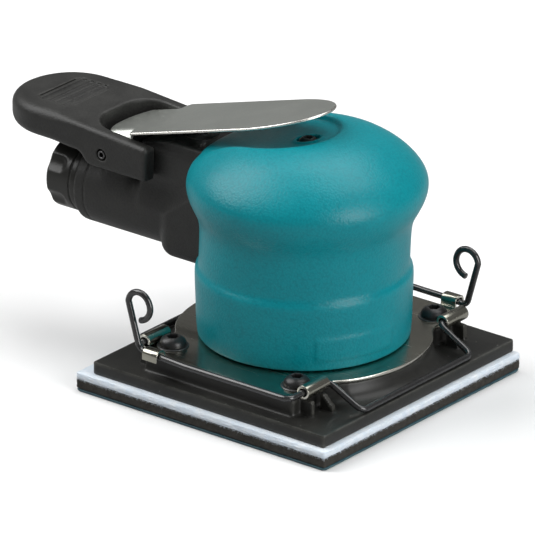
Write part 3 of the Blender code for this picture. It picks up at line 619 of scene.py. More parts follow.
# A copy of the lever's steel for its rolled rim, brightening to near white on the edge: painted edge highlight.
LEVER_RIM_HIGHLIGHT = metal("stainless_rim_painted_highlight", (0.70, 0.69, 0.64), (0.84, 0.83, 0.77), (0.97, 0.95, 0.90), 0.28, 0.006)
BRIGHT = metal("ground_steel", (0.55,) * 3, (0.66,) * 3, (0.9,) * 3, 0.28, 0.008)
ALUMINIUM = metal("machined_aluminium", (0.58, 0.59, 0.60), (0.68, 0.69, 0.70), (0.92,) * 3, 0.38, 0.01)
BRONZE = metal("machined_bronze", (0.50, 0.32, 0.13), (0.60, 0.41, 0.19), (0.85, 0.65, 0.38), 0.36, 0.01)
FLEECE = napped(
    "white_fleece", (0.68, 0.79, 0.90), (0.90, 0.95, 0.99), 0.45, 0.25, 0.98,
    Sheen_Weight=0.5, Sheen_Roughness=0.6)
FOAM = napped("black_cell_foam", (0.02, 0.018, 0.015), (0.06, 0.055, 0.047), 0.4, 0.18, 0.95)

SLOT_FINISH = {
    "teal_overmould": TEAL, "black_composite": BLACK, "blackened_steel": OXIDE, "black_wire": WIRE,
    "nickel_steel": NICKEL, "bright_steel": BRIGHT, "cast_aluminium": ALUMINIUM, "bronze": BRONZE,
    "rubber": RUBBER, "vane_composite": VANE, "white_felt": FLEECE, "black_foam": FOAM, "blue_film": FILM,
}
for entry in frame["record"]["subparts"]:
    node = frame["nodes"][entry["node"]]
    node.data.materials.clear()
    node.data.materials.append(SLOT_FINISH[entry["material_slot"]])


# ---------------- housing

cover_foot = corners("grip_cover")[0][2]
housing_low, housing_high = corners("motor_housing")
rest_low, rest_high = corners("hand_rest")
lever_half = corners("throttle_lever")[1][1]
handle_end = corners("handle_body")[0][0]
collar_low, collar_high = corners("exhaust_collar")
pin_low, pin_high = corners("lever_pin")
PIVOT = np.array(joint("lever_press")["pos_m"]) / MM
HANDLE_AXIS_Z = (collar_low[2] + collar_high[2]) / 2
LEVER_SLOPE = math.radians(16.1)
LEVER_MIDDLE = np.array((-57.3, 0.0, 76.2))
FLOOR_SLOPE = math.tan(math.radians(10.6))
FLOOR_AT_PIVOT = 71.4
COVER_LEAN, LEAN_FROM = 0.045, 41.0
COVER_SCREW_X, VALVE_X = 1.6, -42.0
BLOCK_HALF = 14.7

COVER_SIDE = [
    (12.0, 87.3), (19.8, 85.9), (25.5, 83.8), (29.8, 81.2), (33.4, 78.4), (36.4, 75.2),
    (38.4, 72.0), (38.9, 69.0), (38.2, 65.6), (36.6, 62.1), (35.0, 59.0), (34.2, 56.0),
    (33.9, 52.0), (33.9, 43.0), (34.1, 41.6), (35.0, 40.5), (35.2, 38.6), (34.9, 30.0), (34.7, 22.0),
    (34.4, 19.4),
]


def smooth_step(t):
    """From 0 to 1 as t does, level at both ends: three times its square less twice its cube."""
    return t * t * (3 - 2 * t)


def rounded_off(points, times=2, closed=False):
    """Corners cut off over and over: each side is kept from a quarter to three quarters of its length."""
    points = np.asarray(points, float)
    for _ in range(times):
        after = np.roll(points, -1, axis=0)
        cut = np.stack([0.75 * points + 0.25 * after, 0.25 * points + 0.75 * after], axis=1).reshape(-1, 2)
        points = cut if closed else np.concatenate([points[:1], cut[:-2], points[-1:]])
    return points


def recess_outline():
    """The lever's recess in plan: half an ellipse at the front, straight towards the handle."""
    middle, reach, half = -9.0, 19.0, 17.9
    front = arc((0.0, 0.0), 1.0, -90, 90, 32) * (reach, half) + (middle, 0.0)
    return front.tolist() + [(-50.0, half), (-50.0, -half)]


def build_cover():
    """A turned body that leans forward by 0.045 of its height above the waist, with the lever's sloping
    recess, the handle's slot, a bore for the motor, and a shallow raised band low on its front."""
    side = rounded_off([(0.0, 87.8), *COVER_SIDE]).tolist()
    edge = [(side[-1][0], cover_foot + 0.6), (side[-1][0] - 0.7, cover_foot), (0.0, cover_foot)]
    mirrored = side + edge
    mirrored += [(-r, z) for r, z in mirrored[::-1][1:-1]]
    body = outline_field(mirrored, margin=8.0)
    recess = outline_field(recess_outline(), margin=40.0)
    bore = (housing_high[0] - housing_low[0]) / 2 + 0.35
    slot_half, slot_low = 15.6, 34.4

    def field(x, y, z):
        r = length(x, y)
        d = body(length(x - COVER_LEAN * np.maximum(z - LEAN_FROM, 0), y), z)
        angle = np.degrees(np.arctan2(y, x))
        band = np.clip(np.minimum(24.0 - np.abs(angle + 22.0), (4.2 - np.abs(z - 25.4)) * 1.6), 0, 1)
        d = d - 0.35 * smooth_step(band)
        floor = FLOOR_AT_PIVOT + FLOOR_SLOPE * (x - PIVOT[0])
        hollow = -blend_join(-recess(x, y), z - floor, 1.6)
        d = blend_cut(d, hollow, 2.0)
        slot = np.maximum(np.maximum(np.abs(y) - slot_half, x + 26.0), slot_low - z)
        slot_top = np.maximum(np.maximum(np.abs(y) - slot_half, x + 31.2), slot_low - z)
        d = blend_cut(d, np.maximum(slot, z - 76.0), 0.8)
        d = blend_cut(d, slot_top, 1.6)
        d = np.maximum(d, -np.maximum(r - bore, z - housing_high[2] - 0.3))
        rim = sd_rod(x - COVER_SCREW_X, y, z, 5.0, 80.0, floor + 0.3, 0.3)
        d = blend_join(d, rim, 0.8)
        counterbore = sd_rod(x - COVER_SCREW_X, y, z, 3.75, 81.2, 95.0)
        return blend_cut(d, counterbore, 0.6)

    cover = skin("grip_cover_moulding", field, (-39.5, -39.5, cover_foot), (40.8, 39.5, 88.2), 0.8)
    finish(cover, TEAL, "housing", "teal_overmould", "grip_cover")


def hexagon(rows, angle, radius):
    """The rows' radius drawn out from a circle's to a hexagon's, flat to flat."""
    turn = (angle + math.pi / 6) % (math.pi / 3) - math.pi / 6
    return np.where(rows, radius / np.cos(turn) * 0.97, radius)


def button_head(name, place, foot, head_r, head_h, body, slot, node):
    """A button-head screw turned from its side view: flat flange edge, domed head, and a hexagon socket."""
    top = foot + head_h
    socket = 0.40 * head_r
    side = [(0.0, foot), (head_r - 0.15, foot), (head_r, foot + 0.15), (head_r, foot + 0.45)]
    dome = arc((0.0, 0.0), 1.0, 8, 62, 10)
    side += [(head_r * (0.30 + 0.70 * c), foot + 0.45 + (head_h - 0.45) * s * 1.02) for c, s in dome]
    rim = len(side) + 1
    side += [(socket * 1.30, top), (socket * 1.06, top - 0.05), (socket, top - 0.25)]
    side += [(socket * 0.97, top - 1.6), (socket * 0.5, top - 1.95), (0.0, top - 2.0)]
    shape = lambda row, angle, radius: hexagon((row >= rim) & (row < len(side) - 1), angle, radius)
    screw = turned(name, side, (place[0], place[1], 0.0), sides=72, shape=shape)
    finish(screw, OXIDE, body, slot, node)


def build_cover_screw():
    """The screw in the recess's counterbore, its head level with the recess's floor."""
    middle = sum(corners("cover_screw")) / 2
    button_head("recess_screw", middle[:2], 82.1, 3.4, 3.1, "housing", "blackened_steel", "cover_screw")


# ---------------- handle

def build_handle():
    """Rounded cylinders and boxes joined with fillets: the barrel, the block where it meets the housing, a
    flange behind the cover's slot, the valve's riser and root, and the pin's lug. Planes that rise towards
    the housing cut off the block's upper edges, and round bores are taken out."""
    radius, motor_clearance = 14.0, 31.3
    bore = radius - 3.5

    def field(x, y, z):
        barrel = sd_rod(y, z - HANDLE_AXIS_Z, x, radius, handle_end, -26.0, 0.7)
        block = sd_box(x, y, z, (-50.0, -BLOCK_HALF, 34.9), (-22.0, BLOCK_HALF, 72.0), 5.5)
        cut_off = (z - 51.1 - 0.72 * (x + 45.4)) * 0.62 + (np.abs(y) - BLOCK_HALF) * 0.62
        lead_in = (-49.0 - x) * 0.35 + (np.abs(y) - 13.9) * 0.93
        block = np.maximum(np.maximum(block, cut_off), lead_in)
        d = blend_join(barrel, block, 0.9)
        riser = sd_box(x, y, z, (-58.0, -12.8, 50.0), (-24.0, 12.8, 72.0), 1.6)
        d = blend_join(d, riser, 3.0)
        root = sd_box(x, y, z, (-57.0, -12.4, 62.0), (-24.0, 12.4, 75.4), 1.6)
        root = np.maximum(root, z - 75.4 - 0.25 * (x + 46.0))
        d = blend_join(d, root, 2.0)
        lug = sd_box(x, y, z, (-73.0, -11.6, 48.8), (-63.0, 11.6, 70.5), 1.6)
        d = blend_join(d, lug, 3.0)
        flange = sd_box(x, y, z, (-29.6, -16.2, 36.0), (-24.0, 16.2, 74.0), 0.3)
        d = np.maximum(np.minimum(d, flange), motor_clearance - length(x, y))
        d = np.maximum(d, -sd_rod(y, z - HANDLE_AXIS_Z, x, bore, handle_end - 5, -62.0))
        d = np.maximum(d, -sd_rod(x - VALVE_X, y, z, 5.5, 43.5, 80.0))
        parting = length(np.abs(length(y, z - HANDLE_AXIS_Z) - radius), x - handle_end - 4.2) - 0.28
        return np.maximum(d, -parting)

    handle = skin("handle_casting", field, (handle_end, -17.0, 34.0), (-24.0, 17.0, 76.0), 0.5)
    finish(handle, BLACK, "housing", "black_composite", "handle_body")


def build_valve_cap():
    """A black cap ring over the valve's bushing, with a hole for the stem."""
    side = [(2.5, 75.3), (2.5, 75.75), (2.7, 75.95), (4.6, 75.95), (5.2, 75.6), (5.4, 75.3), (2.5, 75.3)]
    cap = turned("valve_cap", side, (VALVE_X, 0.0, 0.0), sides=64)
    finish(cap, BLACK, "housing", "black_composite")


def build_valve_spring():
    """A helix whose end turns lie flat."""
    low, high = corners("valve_spring")
    middle, wire, turns = (low + high) / 2, 0.45, 4.5
    t = np.linspace(0, 1, 240)
    reach = (high[0] - low[0]) / 2 - wire
    rise = low[2] + wire + (high[2] - low[2] - 2 * wire) * np.clip((t - 0.1) / 0.8, 0, 1)
    angle = 2 * np.pi * turns * t
    path = np.stack([middle[0] + reach * np.cos(angle), middle[1] + reach * np.sin(angle), rise], axis=1)
    spring = rod_along("valve_spring_coil", path, wire, sides=12)
    finish(spring, BRIGHT, "housing", "bright_steel", "valve_spring")
    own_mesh(spring)


def build_hand_rest():
    """A soft-edged slab, forked into two arms round the lever's tail, with a plain ribbed panel sunk in its
    top. Its edge radius r is large round the end, smaller on the arms and least in the fork."""
    half = rest_high[1]
    inner, scoop, arm_end, top = 14.5, -77.5, rest_high[0], 76.4
    plan = arc((0.0, 0.0), 1.0, 90, 270, 40) * (-97.0 - rest_low[0], half) + (-97.0, 0.0)
    fork = [(arm_end, -inner), (scoop, -inner), (scoop, inner), (arm_end, inner)]
    fork = filleted(fork, 9.5, steps=10)[:, :2]
    corner = arc((arm_end - 1.6, -half + 1.6), 1.6, -90, 0, 5)
    outline = np.concatenate([plan, corner, fork, (corner * (1, -1))[::-1]])
    flat = outline_field(outline, margin=10.0)
    low = 66.1
    side = [
        (rest_low[0] - 3, low + 1.0), (-108.0, low), (-78.4, low - 0.4), (-75.0, 61.8), (arm_end, 61.6),
        (arm_end + 1, 73.2), (-90.0, top), (-108.0, top), (rest_low[0] - 3, top - 0.3),
    ]
    bends = [0, 10, 3.5, 3.5, 1.6, 1.4, 20, 10, 0]
    profile = outline_field(filleted(side, bends, closed=True)[:, :2], margin=10.0)

    def field(x, y, z):
        a, b = flat(x, y), profile(x, z)
        back = np.clip((-80.0 - x) / 12.0, 0, 1)
        inside_fork = np.clip((16.6 - np.abs(y)) / 2.0, 0, 1) * np.clip((x + 88.0) / 6.0, 0, 1)
        r = 1.9 + 1.7 * smooth_step(back)
        r = r + (0.9 - r) * smooth_step(inside_fork)
        d = length(np.maximum(a + r, 0), np.maximum(b + r, 0)) + np.minimum(np.maximum(a + r, b + r), 0) - r
        panel = length(np.maximum(np.abs(x + 95.5) - 4.5, 0), np.maximum(np.abs(y) - 8.5, 0)) - 2.5
        depth = 0.75 - 0.55 * np.clip(0.5 + 1.1 * np.cos((x + 95.5) * 2 * np.pi / 3.0), 0, 1)
        d = blend_cut(d, np.maximum(panel, top - depth - z), 0.35)
        hole = length(x - PIVOT[0], z - PIVOT[2]) - 2.0
        return blend_cut(d, hole, 0.5)

    highest = (rest_high[0] + 0.5, rest_high[1] + 0.5, top + 0.5)
    rest = skin("hand_rest_moulding", field, rest_low - 0.5, highest, 0.42)
    finish(rest, BLACK, "housing", "black_composite", "hand_rest")


def build_lever_pin():
    """A hollow pin turned from its wall's section, with softened ends."""
    radius, half = (pin_high[0] - pin_low[0]) / 2, pin_high[1]
    side = [
        (0.8, half - 0.15), (0.95, half), (radius - 0.2, half), (radius, half - 0.25), (radius, 0.0),
        (radius, -half + 0.25), (radius - 0.2, -half), (0.95, -half), (0.8, -half + 0.15), (0.8, 0.0),
        (0.8, half - 0.15),
    ]
    pin = turned("rolled_lever_pin", side, (PIVOT[0], 0.0, PIVOT[2]), axis="Y", sides=48)
    finish(pin, OXIDE, "housing", "bright_steel", "lever_pin")


def build_collar():
    """A ring with wide round-ended flutes for the fingers and a groove at its inner end."""
    radius = 12.2
    low, high = collar_low[0], collar_high[0]
    flutes, cutter_r, cutter_out = 6, 6.5, 5.6

    def field(x, y, z):
        w = z - HANDLE_AXIS_Z
        r = length(y, w)
        d = sd_rod(y, w, x, radius, low, high, 1.1)
        for i in range(flutes):
            a = 2 * math.pi * (i + 0.5) / flutes
            cutter_y, cutter_w = (radius + cutter_out) * math.cos(a), (radius + cutter_out) * math.sin(a)
            across = length(y - cutter_y, w - cutter_w, np.maximum(x - (low + 5.2), 0) * 1.5)
            d = blend_cut(d, across - cutter_r, 0.5)
        d = np.maximum(d, -(length(r - radius, x - (high - 3.1)) - 0.32))
        return np.maximum(d, 8.3 - r)

    collar = skin("exhaust_collar_moulding", field, collar_low - 0.5, collar_high + 0.5, 0.35)
    finish(collar, COLLAR, "collar", "black_composite", "exhaust_collar")


def build_inlet():
    """The inlet bushing: a turned sleeve with thread ridges in its mouth."""
    low, high = corners("inlet_bushing")
    outer, bore = (high[1] - low[1]) / 2, 5.8
    ridges = [(bore + 0.45 * (i % 2), low[0] + 0.9 + 0.7 * i) for i in range(24)]
    side = [(bore + 0.7, low[0]), (bore + 0.2, low[0] + 0.5), *ridges, (bore, high[0]), (outer, high[0])]
    side += [(outer, low[0] + 0.5), (outer - 0.5, low[0]), (bore + 0.7, low[0])]
    sleeve = turned("threaded_inlet", side, (0.0, 0.0, HANDLE_AXIS_Z), axis="X", sides=64)
    finish(sleeve, BRIGHT, "housing", "bright_steel", "inlet_bushing")


# ---------------- lever

def build_lever():
    """A flat blade with a half-elliptic tip. Behind its neck its sides bend down, two ears hold the pin, and
    its tail follows the hand rest's scoop. The blade is rings of points: from its middle line out to the
    edge, over the rolled edge, and back below."""
    half, tip, shoulder = lever_half, 69.8, 45.5
    neck_half, neck, tail, thick, edge = 13.9, -3.4, -18.2, 0.95, 0.42
    t = np.linspace(1, 0, 9)
    step = np.stack([neck + 1.9 * t, neck_half + (half - neck_half) * smooth_step(t)], axis=1)
    front = arc((0.0, 0.0), 1.0, 0, 90, 60) * (tip - shoulder, half) + (shoulder, 0.0)
    back = arc((0.0, 0.0), 1.0, 90, 180, 40) * (-8.5 - tail, neck_half) + (-8.5, 0.0)
    side = spaced(np.concatenate([front, step, back]), 0.5)
    side[[0, -1], 1] = 0.0
    outline = np.concatenate([side, side[-2:0:-1] * (1, -1)])
    along = np.roll(outline, -1, axis=0) - np.roll(outline, 1, axis=0)
    outward = np.stack([along[:, 1], -along[:, 0]], axis=1) / np.linalg.norm(along, axis=1)[:, None]
    inner = outline - outward * edge
    inner[:, 1] = np.where(outline[:, 1] * inner[:, 1] > 0, inner[:, 1], 0.0)
    shares = [*np.linspace(0, 0.97, 12), 1.0]
    rings = [(inner * (1, share), thick / 2) for share in shares]
    turns = np.linspace(0, np.pi, 7)[1:-1]
    rings += [(inner + outward * edge * math.sin(a), thick / 2 * math.cos(a)) for a in turns]
    rings += [(inner * (1, share), -thick / 2) for share in shares[::-1]]
    flat = np.concatenate([np.column_stack([ring, np.full(len(ring), z)]) for ring, z in rings])
    behind = np.clip((-2.6 - flat[:, 0]) / 1.4, 0, 1)
    z = flat[:, 2] - 3.8 * behind * np.clip((np.abs(flat[:, 1]) - 10.5) / 3.4, 0, 1.1) ** 2
    cosine, sine = math.cos(LEVER_SLOPE), math.sin(LEVER_SLOPE)
    points = np.stack([flat[:, 0] * cosine - z * sine, flat[:, 1], flat[:, 0] * sine + z * cosine], axis=1)
    blade = mesh_piece("lever_blade", points + LEVER_MIDDLE, grid_faces(len(rings), len(outline)))
    row = np.arange(len(blade.data.polygons)) // len(outline)
    rim = (row >= len(shares) - 1) & (row < len(rings) - len(shares))
    blade.data.polygons.foreach_set("material_index", rim.astype(np.int32))
    weld(blade.data)
    # The rolled edge takes the rim copy: painted highlight along it.
    finish(blade, (LEVER, LEVER_RIM_HIGHLIGHT), "lever", "nickel_steel", "throttle_lever")
    ear = [(-71.4, 63.8), (-66.0, 63.8), (-64.6, 72.2), (-71.4, 70.6)]
    ear = filleted(ear, [2.4, 2.4, 0.4, 0.4], closed=True)
    for side in (1, -1):
        wall = plate(f"lever_ear_{side + 2}", ear[:, :2], sorted((side * 12.0, side * 13.2)), 0.2, facing="Y")
        # The ears' rims take the same painted edge highlight.
        finish(wall, (LEVER, LEVER_RIM_HIGHLIGHT), "lever", "nickel_steel")


# ---------------- pad and its clips

KNUCKLE_X, KNUCKLE_Z = 32.5, 18.9
PLATE_LOW, PLATE_HIGH = 16.4, 17.6
SCREW_FOOT = 17.9
BASE_TOP = 10.6


def plate_outline(inset=0.0):
    """The steel plate in plan: round noses front and rear, curving in to a notch beside each knuckle."""
    nose, edge, side, notch = 42.0 - inset, 30.9 - inset, 44.6 - inset, 29.3 + inset
    corner = [(edge + 0.6, notch - 2.6), (edge, notch), (edge, notch + 3.0), (edge, side - 2.5), (edge, side)]
    corner += [(edge - 2.5, side), (edge - 8.0, side)]
    half = [(x, -y) for x, y in corner[::-1]] + arc((0.0, 0.0), nose, -31, 31, 8).tolist() + corner
    return rounded_off(half + [(-x, -y) for x, y in half], 3, closed=True)


def build_base():
    """The pad's square base under a deck shaped like the steel plate. The deck sweeps out into the base
    below each nose, and a thin web stands below each knuckle."""
    low, high = corners("pad_base")
    sheet = [(low[0], low[1]), (high[0], low[1]), (high[0], high[1]), (low[0], high[1])]
    sheet = filleted(sheet, 0.9, closed=True, steps=4)
    foot_plan = outline_field(sheet[:, :2], step=0.25, margin=4.0)
    deck_plan = outline_field(plate_outline(0.6), step=0.2, margin=12.0)

    def field(x, y, z):
        foot = slab(foot_plan(x, y), z, low[2], BASE_TOP, 0.35)
        raised = slab(deck_plan(x, y), z, BASE_TOP - 3.0, high[2], 0.3)
        sweep = np.clip((30.0 - np.abs(y)) / 8.0, 0, 1) * np.clip((np.abs(x) - 30.0) / 4.0, 0, 1)
        d = blend_join(foot, raised, 1.2 + 6.0 * sweep)
        ax, ay = np.abs(x), np.abs(y)
        post = sd_box(ax, ay, z, (27.0, 38.6, BASE_TOP - 1.0), (35.2, 40.2, 15.9), 0.3)
        web = sd_box(ax, ay, z, (33.0, 31.6, BASE_TOP - 1.0), (38.0, 33.4, 15.9), 0.3)
        web = np.maximum(web, (ax - 34.5) * 0.9 + z - 15.6)
        return blend_join(blend_join(d, post, 0.6), web, 0.6)

    base = skin("base_moulding", field, low, high, 0.6)
    finish(base, BASE, "pad", "black_composite", "pad_base")


def build_clip_plate():
    """A pressed plate with curled knuckles for the wires, and at each side a catch arched over the wire."""
    steel = plate("pressed_plate", plate_outline(), (PLATE_LOW, PLATE_HIGH), 0.28)
    # The plate's rim takes the paler copy: painted highlight along its edge.
    finish(steel, (NICKEL, NICKEL_RIM_HIGHLIGHT), "pad", "nickel_steel", "clip_plate")
    curl = arc((KNUCKLE_X, KNUCKLE_Z), 1.9, -90, 200, 40)
    strip = strip_outline(np.concatenate([[(27.0, 17.0), (29.5, 17.0), (31.5, 17.0)], curl]), 0.95)
    hook = [(-42.5, 17.0), (-45.6, 17.0), (-45.6, 20.5), (-49.5, 20.5), (-49.5, 17.3)]
    hook = filleted(hook, [0, 0.7, 1.6, 1.6, 0], steps=6)
    hook_strip = strip_outline(spaced(hook[:, :2], 0.3), 0.9)
    for side in (1, -1):
        for i, ends in enumerate(((30.5, 41.5), (-41.5, -30.5))):
            knuckle = plate(f"curled_knuckle_{side + 1 + i}", strip * (side, 1.0), ends, 0.22, facing="Y")
            # The strip's cut ends take the paler copy: painted edge highlight.
            finish(knuckle, (NICKEL_RIM_HIGHLIGHT, NICKEL), "pad", "nickel_steel")
        span = sorted((side * -26.5, side * -20.5))
        catch = plate(f"side_hook_{side + 2}", hook_strip * (side, 1.0), span, 0.22, facing="X")
        # The catch's cut ends take the paler copy: painted edge highlight.
        finish(catch, (NICKEL_RIM_HIGHLIGHT, NICKEL), "pad", "nickel_steel")


def build_clip_screws():
    """A button head and a turned flat washer over each of the plate's four screws."""
    for i in range(1, 5):
        node = f"clip_screw_{i}"
        low, high = corners(node)
        middle = (low + high) / 2
        size = (high[0] - low[0]) / 2, high[2] - SCREW_FOOT
        button_head(f"button_head_{i}", middle[:2], SCREW_FOOT, *size, "pad", "blackened_steel", node)
        ring = [(2.6, 17.62), (5.1, 17.62), (5.25, 17.7), (5.1, 17.88), (2.6, 17.88), (2.6, 17.62)]
        washer = turned(f"screw_washer_{i}", ring, (*middle[:2], 0.0), sides=64)
        finish(washer, OXIDE, "pad", "blackened_steel")


def build_wires():
    """Each clip is one wire: finger loop, arm along the plate, knuckle, jaw bar and second knuckle."""
    turn = np.radians(np.linspace(-82, 175, 60))
    reach = 5.2 + (4.35 - 5.2) * np.minimum(1.0, 2.5 * np.linspace(0, 1, 60))
    loop = np.stack([-30.1 + reach * np.cos(turn), np.full(60, -46.7), 34.1 + reach * np.sin(turn)], axis=1)
    body = [
        loop[-1], (-30.0, -46.7, 18.9), (-23.5, -47.6, 18.9), (-10.0, -48.3, 18.6),
        (KNUCKLE_X, -48.6, KNUCKLE_Z), (KNUCKLE_X, -29.0, KNUCKLE_Z), (46.0, -28.4, 11.9), (46.0, 28.4, 11.9),
        (KNUCKLE_X, 29.0, KNUCKLE_Z), (KNUCKLE_X, 42.5, KNUCKLE_Z),
    ]
    bends = [0, 2.6, 6.0, 20.0, 2.4, 2.4, 2.6, 2.6, 2.4, 0]
    path = spaced(np.concatenate([loop[:-1], filleted(body, bends, steps=10)]), 0.45)
    for name, side in (("front_clip", 1), ("rear_clip", -1)):
        wire = rod_along(name + "_wire", path * (side, side, 1.0), 1.05, sides=20)
        finish(wire, WIRE, name, "black_wire", name)


def perimeter(node, corner, step):
    """Even points round a node's box in plan, and the outward direction at each."""
    low, high = corners(node)
    sides = [(low[0], low[1]), (high[0], low[1]), (high[0], high[1]), (low[0], high[1])]
    path = filleted(sides, corner, closed=True, steps=8)[:, :2]
    path = spaced(np.concatenate([path, path[:1]]), step)[:-1]
    along = np.roll(path, -1, axis=0) - np.roll(path, 1, axis=0)
    along /= np.linalg.norm(along, axis=1)[:, None]
    return path, np.stack([along[:, 1], -along[:, 0]], axis=1)


def wrapped_noise(seed, rows, columns, coarse):
    """Smooth noise from -1 to 1 that joins up round its columns: random values every coarse columns,
    blended with a cosine between."""
    rng = np.random.default_rng(seed)
    cells = max(3, columns // coarse)
    table = rng.uniform(-1, 1, (rows, cells))
    at = np.arange(columns) * cells / columns
    i, t = at.astype(int), at % 1.0
    t = (1 - np.cos(np.pi * t)) / 2
    return table[:, i % cells] * (1 - t) + table[:, (i + 1) % cells] * t


def cut_sheet(name, node, corner, section, relief, step=0.5):
    """A soft sheet cut square: a section of (inset, height, relief share) carried round the outline, its
    cut side pushed in and out by relief, and both faces closed by rings shrunk towards the middle."""
    path, outward = perimeter(node, corner, step)
    middle = path.mean(axis=0)
    rows = []
    for i, (inset, height, share) in enumerate(section):
        push = share * relief(i, len(path)) - inset
        rows.append(np.concatenate([path + outward * push[:, None], np.full((len(path), 1), height)], axis=1))
    top, bottom = rows[0], rows[-1]
    shrunk = lambda row, k: np.concatenate([middle + (row[:, :2] - middle) * k, row[:, 2:]], axis=1)
    rows = [shrunk(top, k) for k in (0.0, 0.5, 0.93)] + rows + [shrunk(bottom, k) for k in (0.93, 0.5, 0.0)]
    obj = mesh_piece(name, np.concatenate(rows), grid_faces(len(rows), len(path)), smooth=50.0)
    weld(obj.data)
    return obj


def build_foam():
    """The foam layer: a knife-cut edge with open cells."""
    low, high = corners("foam_pad")
    z = np.linspace(high[2] - 0.12, low[2] + 0.12, 8)
    section = [(0.5, high[2], 0.0), (0.15, high[2] - 0.02, 0.4)] + [(0.0, h, 1.0) for h in z]
    section += [(0.15, low[2] + 0.02, 0.4), (0.5, low[2], 0.0)]
    fine = wrapped_noise(5, len(section), 4000, 2)
    foam = cut_sheet("foam_slab", "foam_pad", 0.4, section, lambda i, n: 0.10 * fine[i, :n], step=0.3)
    finish(foam, FOAM, "pad", "black_foam", "foam_pad")


def build_fleece():
    """The fleece layer: a sheet whose edge bulges and waves a little, with a fringe of loose fibres."""
    low, high = corners("felt_layer")
    top, bottom = high[2] + 0.2, low[2] - 0.2
    z = np.linspace(top - 0.25, bottom + 0.25, 7)
    bulge = np.sin(np.linspace(0.25, np.pi - 0.25, 7))
    section = [(0.9, top, 0.0), (0.25, top - 0.06, 0.6)]
    section += [(0.05 - 0.30 * b, h, 1.0) for h, b in zip(z, bulge)]
    section += [(0.25, bottom + 0.06, 0.6), (0.9, bottom, 0.0)]
    wide, fine = wrapped_noise(11, len(section), 4000, 9), wrapped_noise(12, len(section), 4000, 3)
    relief = lambda i, n: 0.14 * wide[i, :n] + 0.10 * fine[i, :n]
    fleece = cut_sheet("fleece_sheet", "felt_layer", 0.8, section, relief, step=0.35)
    finish(fleece, FLEECE, "pad", "white_felt", "felt_layer")
    fibres = fringe("fleece_fibres", "felt_layer", 5200, top, bottom)
    finish(fibres, FLEECE, "pad", "white_felt")


def fringe(name, node, count, top, bottom):
    """Loose fibres: each a thin three-sided spike that leaves the cut edge and curls down or up."""
    rng = np.random.default_rng(21)
    path, outward = perimeter(node, 0.5, 0.1)
    at = rng.integers(0, len(path), count)
    lower = rng.random(count) < 0.6
    near_foot = bottom + rng.uniform(0.0, 0.5, count)
    height = np.where(lower, near_foot, rng.uniform(bottom + 0.5, top - 0.1, count))
    reach = rng.uniform(0.15, 0.55, count)
    drop = np.where(lower, rng.uniform(-0.75, 0.1, count), rng.uniform(-0.3, 0.3, count))
    out = outward[at]
    along = np.stack([-out[:, 1], out[:, 0]], axis=1) * rng.uniform(-0.35, 0.35, count)[:, None]
    levels = []
    for t in (0.0, 0.5, 1.0):
        flat = path[at] + out * (reach * t - 0.15)[:, None] + along * t
        middle = np.concatenate([flat, (height + drop * t * t)[:, None]], axis=1)
        width = 0.075 * (1 - 0.85 * t)
        for k in range(3):
            a = 2 * np.pi * k / 3
            across = out[:, ::-1] * (-math.cos(a), math.cos(a))
            spoke = np.column_stack([across, np.full(count, math.sin(a))])
            levels.append(middle + spoke * width)
    points = np.stack(levels, axis=1).reshape(-1, 3)
    base = np.arange(count)[:, None] * 9
    faces = []
    for ring in (0, 3):
        for k in range(3):
            k1 = (k + 1) % 3
            faces.append(base + [ring + k, ring + k1, ring + 3 + k1, ring + 3 + k])
    quads = np.concatenate(faces).tolist()
    ends = np.concatenate([base + [2, 1, 0], base + [6, 7, 8]]).tolist()
    return mesh_piece(name, points, quads + ends, smooth=0)


def build_film():
    """The pad face's rounded square, given its thickness."""
    low, high = corners("pad_face")
    path, _ = perimeter("pad_face", 0.5, 1.5)
    film = plate("film_sheet", path, (low[2], high[2]), 0.12)
    finish(film, (FILM, FILM), "pad", "blue_film", "pad_face")


for build in (
    build_cover, build_cover_screw, build_handle, build_valve_cap, build_valve_spring, build_hand_rest,
    build_lever_pin, build_collar, build_inlet, build_lever, build_base, build_clip_plate,
    build_clip_screws, build_wires, build_foam, build_fleece, build_film,
):
    build()


# ---------------- floor, lights and camera

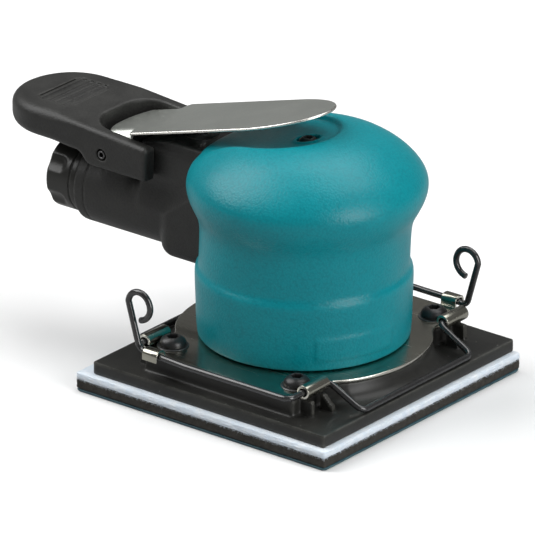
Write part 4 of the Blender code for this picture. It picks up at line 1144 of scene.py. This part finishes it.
def build_floor():
    """A wide pale floor. It is paler to look at than in what it throws back on the sander."""
    material, tree, shader = new_material("pale_floor", Roughness=0.7, Specular_IOR_Level=0.1)
    marks = use(tree, SMUDGE, Size=300.0)
    seen = add(tree, "LightPath").outputs["Is Camera Ray"]
    pale = mixed(tree, marks["Patch"], (0.93, 0.93, 0.93), (0.95, 0.95, 0.95))
    tree.links.new(mixed(tree, seen, (0.42, 0.42, 0.42), pale), shader.inputs["Base Color"])
    ends = [(-6000.0, -6000.0), (6000.0, -6000.0), (6000.0, 6000.0), (-6000.0, 6000.0)]
    floor = mesh_piece("floor", [(x, y, -0.2) for x, y in ends], [(0, 1, 2, 3)], smooth=0)
    floor.data.materials.append(material)


def softbox(name, place, aim, size, power):
    light = bpy.data.lights.new(name, "AREA")
    light.shape = "RECTANGLE"
    light.size, light.size_y = size
    light.energy = power
    lamp = bpy.data.objects.new(name, light)
    lamp.location = place
    lamp.rotation_euler = (Vector(aim) - Vector(place)).to_track_quat("-Z", "Y").to_euler()
    bpy.context.scene.collection.objects.link(lamp)


def build_studio():
    world = bpy.data.worlds.new("studio")
    bpy.context.scene.world = world
    world.use_nodes = True
    sky = world.node_tree.nodes["Background"]
    sky.inputs["Color"].default_value = (1.0, 1.0, 1.0, 1.0)
    sky.inputs["Strength"].default_value = 0.16
    middle = (-0.01, 0.0, 0.05)
    softbox("upper_left_softbox", (-0.75, -0.35, 0.95), middle, (0.95, 0.95), 13.0)
    softbox("right_softbox", (1.05, -0.10, 0.42), middle, (0.55, 0.9), 8.0)
    softbox("overhead_softbox", (0.1, 0.45, 1.25), middle, (1.2, 0.8), 10.0)
    scene = bpy.context.scene
    scene.view_settings.view_transform = "Standard"
    scene.view_settings.look = "None"


def build_camera():
    azimuth, elevation, distance = math.radians(38.7), math.radians(23.0), 3.0
    view_width = 0.17202572
    aim = Vector((-0.01505, 0.0, 0.0356))
    level = math.cos(elevation)
    away = Vector((math.sin(azimuth) * level, -math.cos(azimuth) * level, math.sin(elevation)))
    lens = bpy.data.cameras.new("camera")
    lens.sensor_width = 36.0
    lens.lens = lens.sensor_width * distance / view_width
    lens.clip_end = 50.0
    camera = bpy.data.objects.new("camera", lens)
    camera.location = aim + away * distance
    camera.rotation_euler = (-away).to_track_quat("-Z", "Y").to_euler()
    bpy.context.scene.collection.objects.link(camera)
    bpy.context.scene.camera = camera


build_floor()
build_studio()
build_camera()
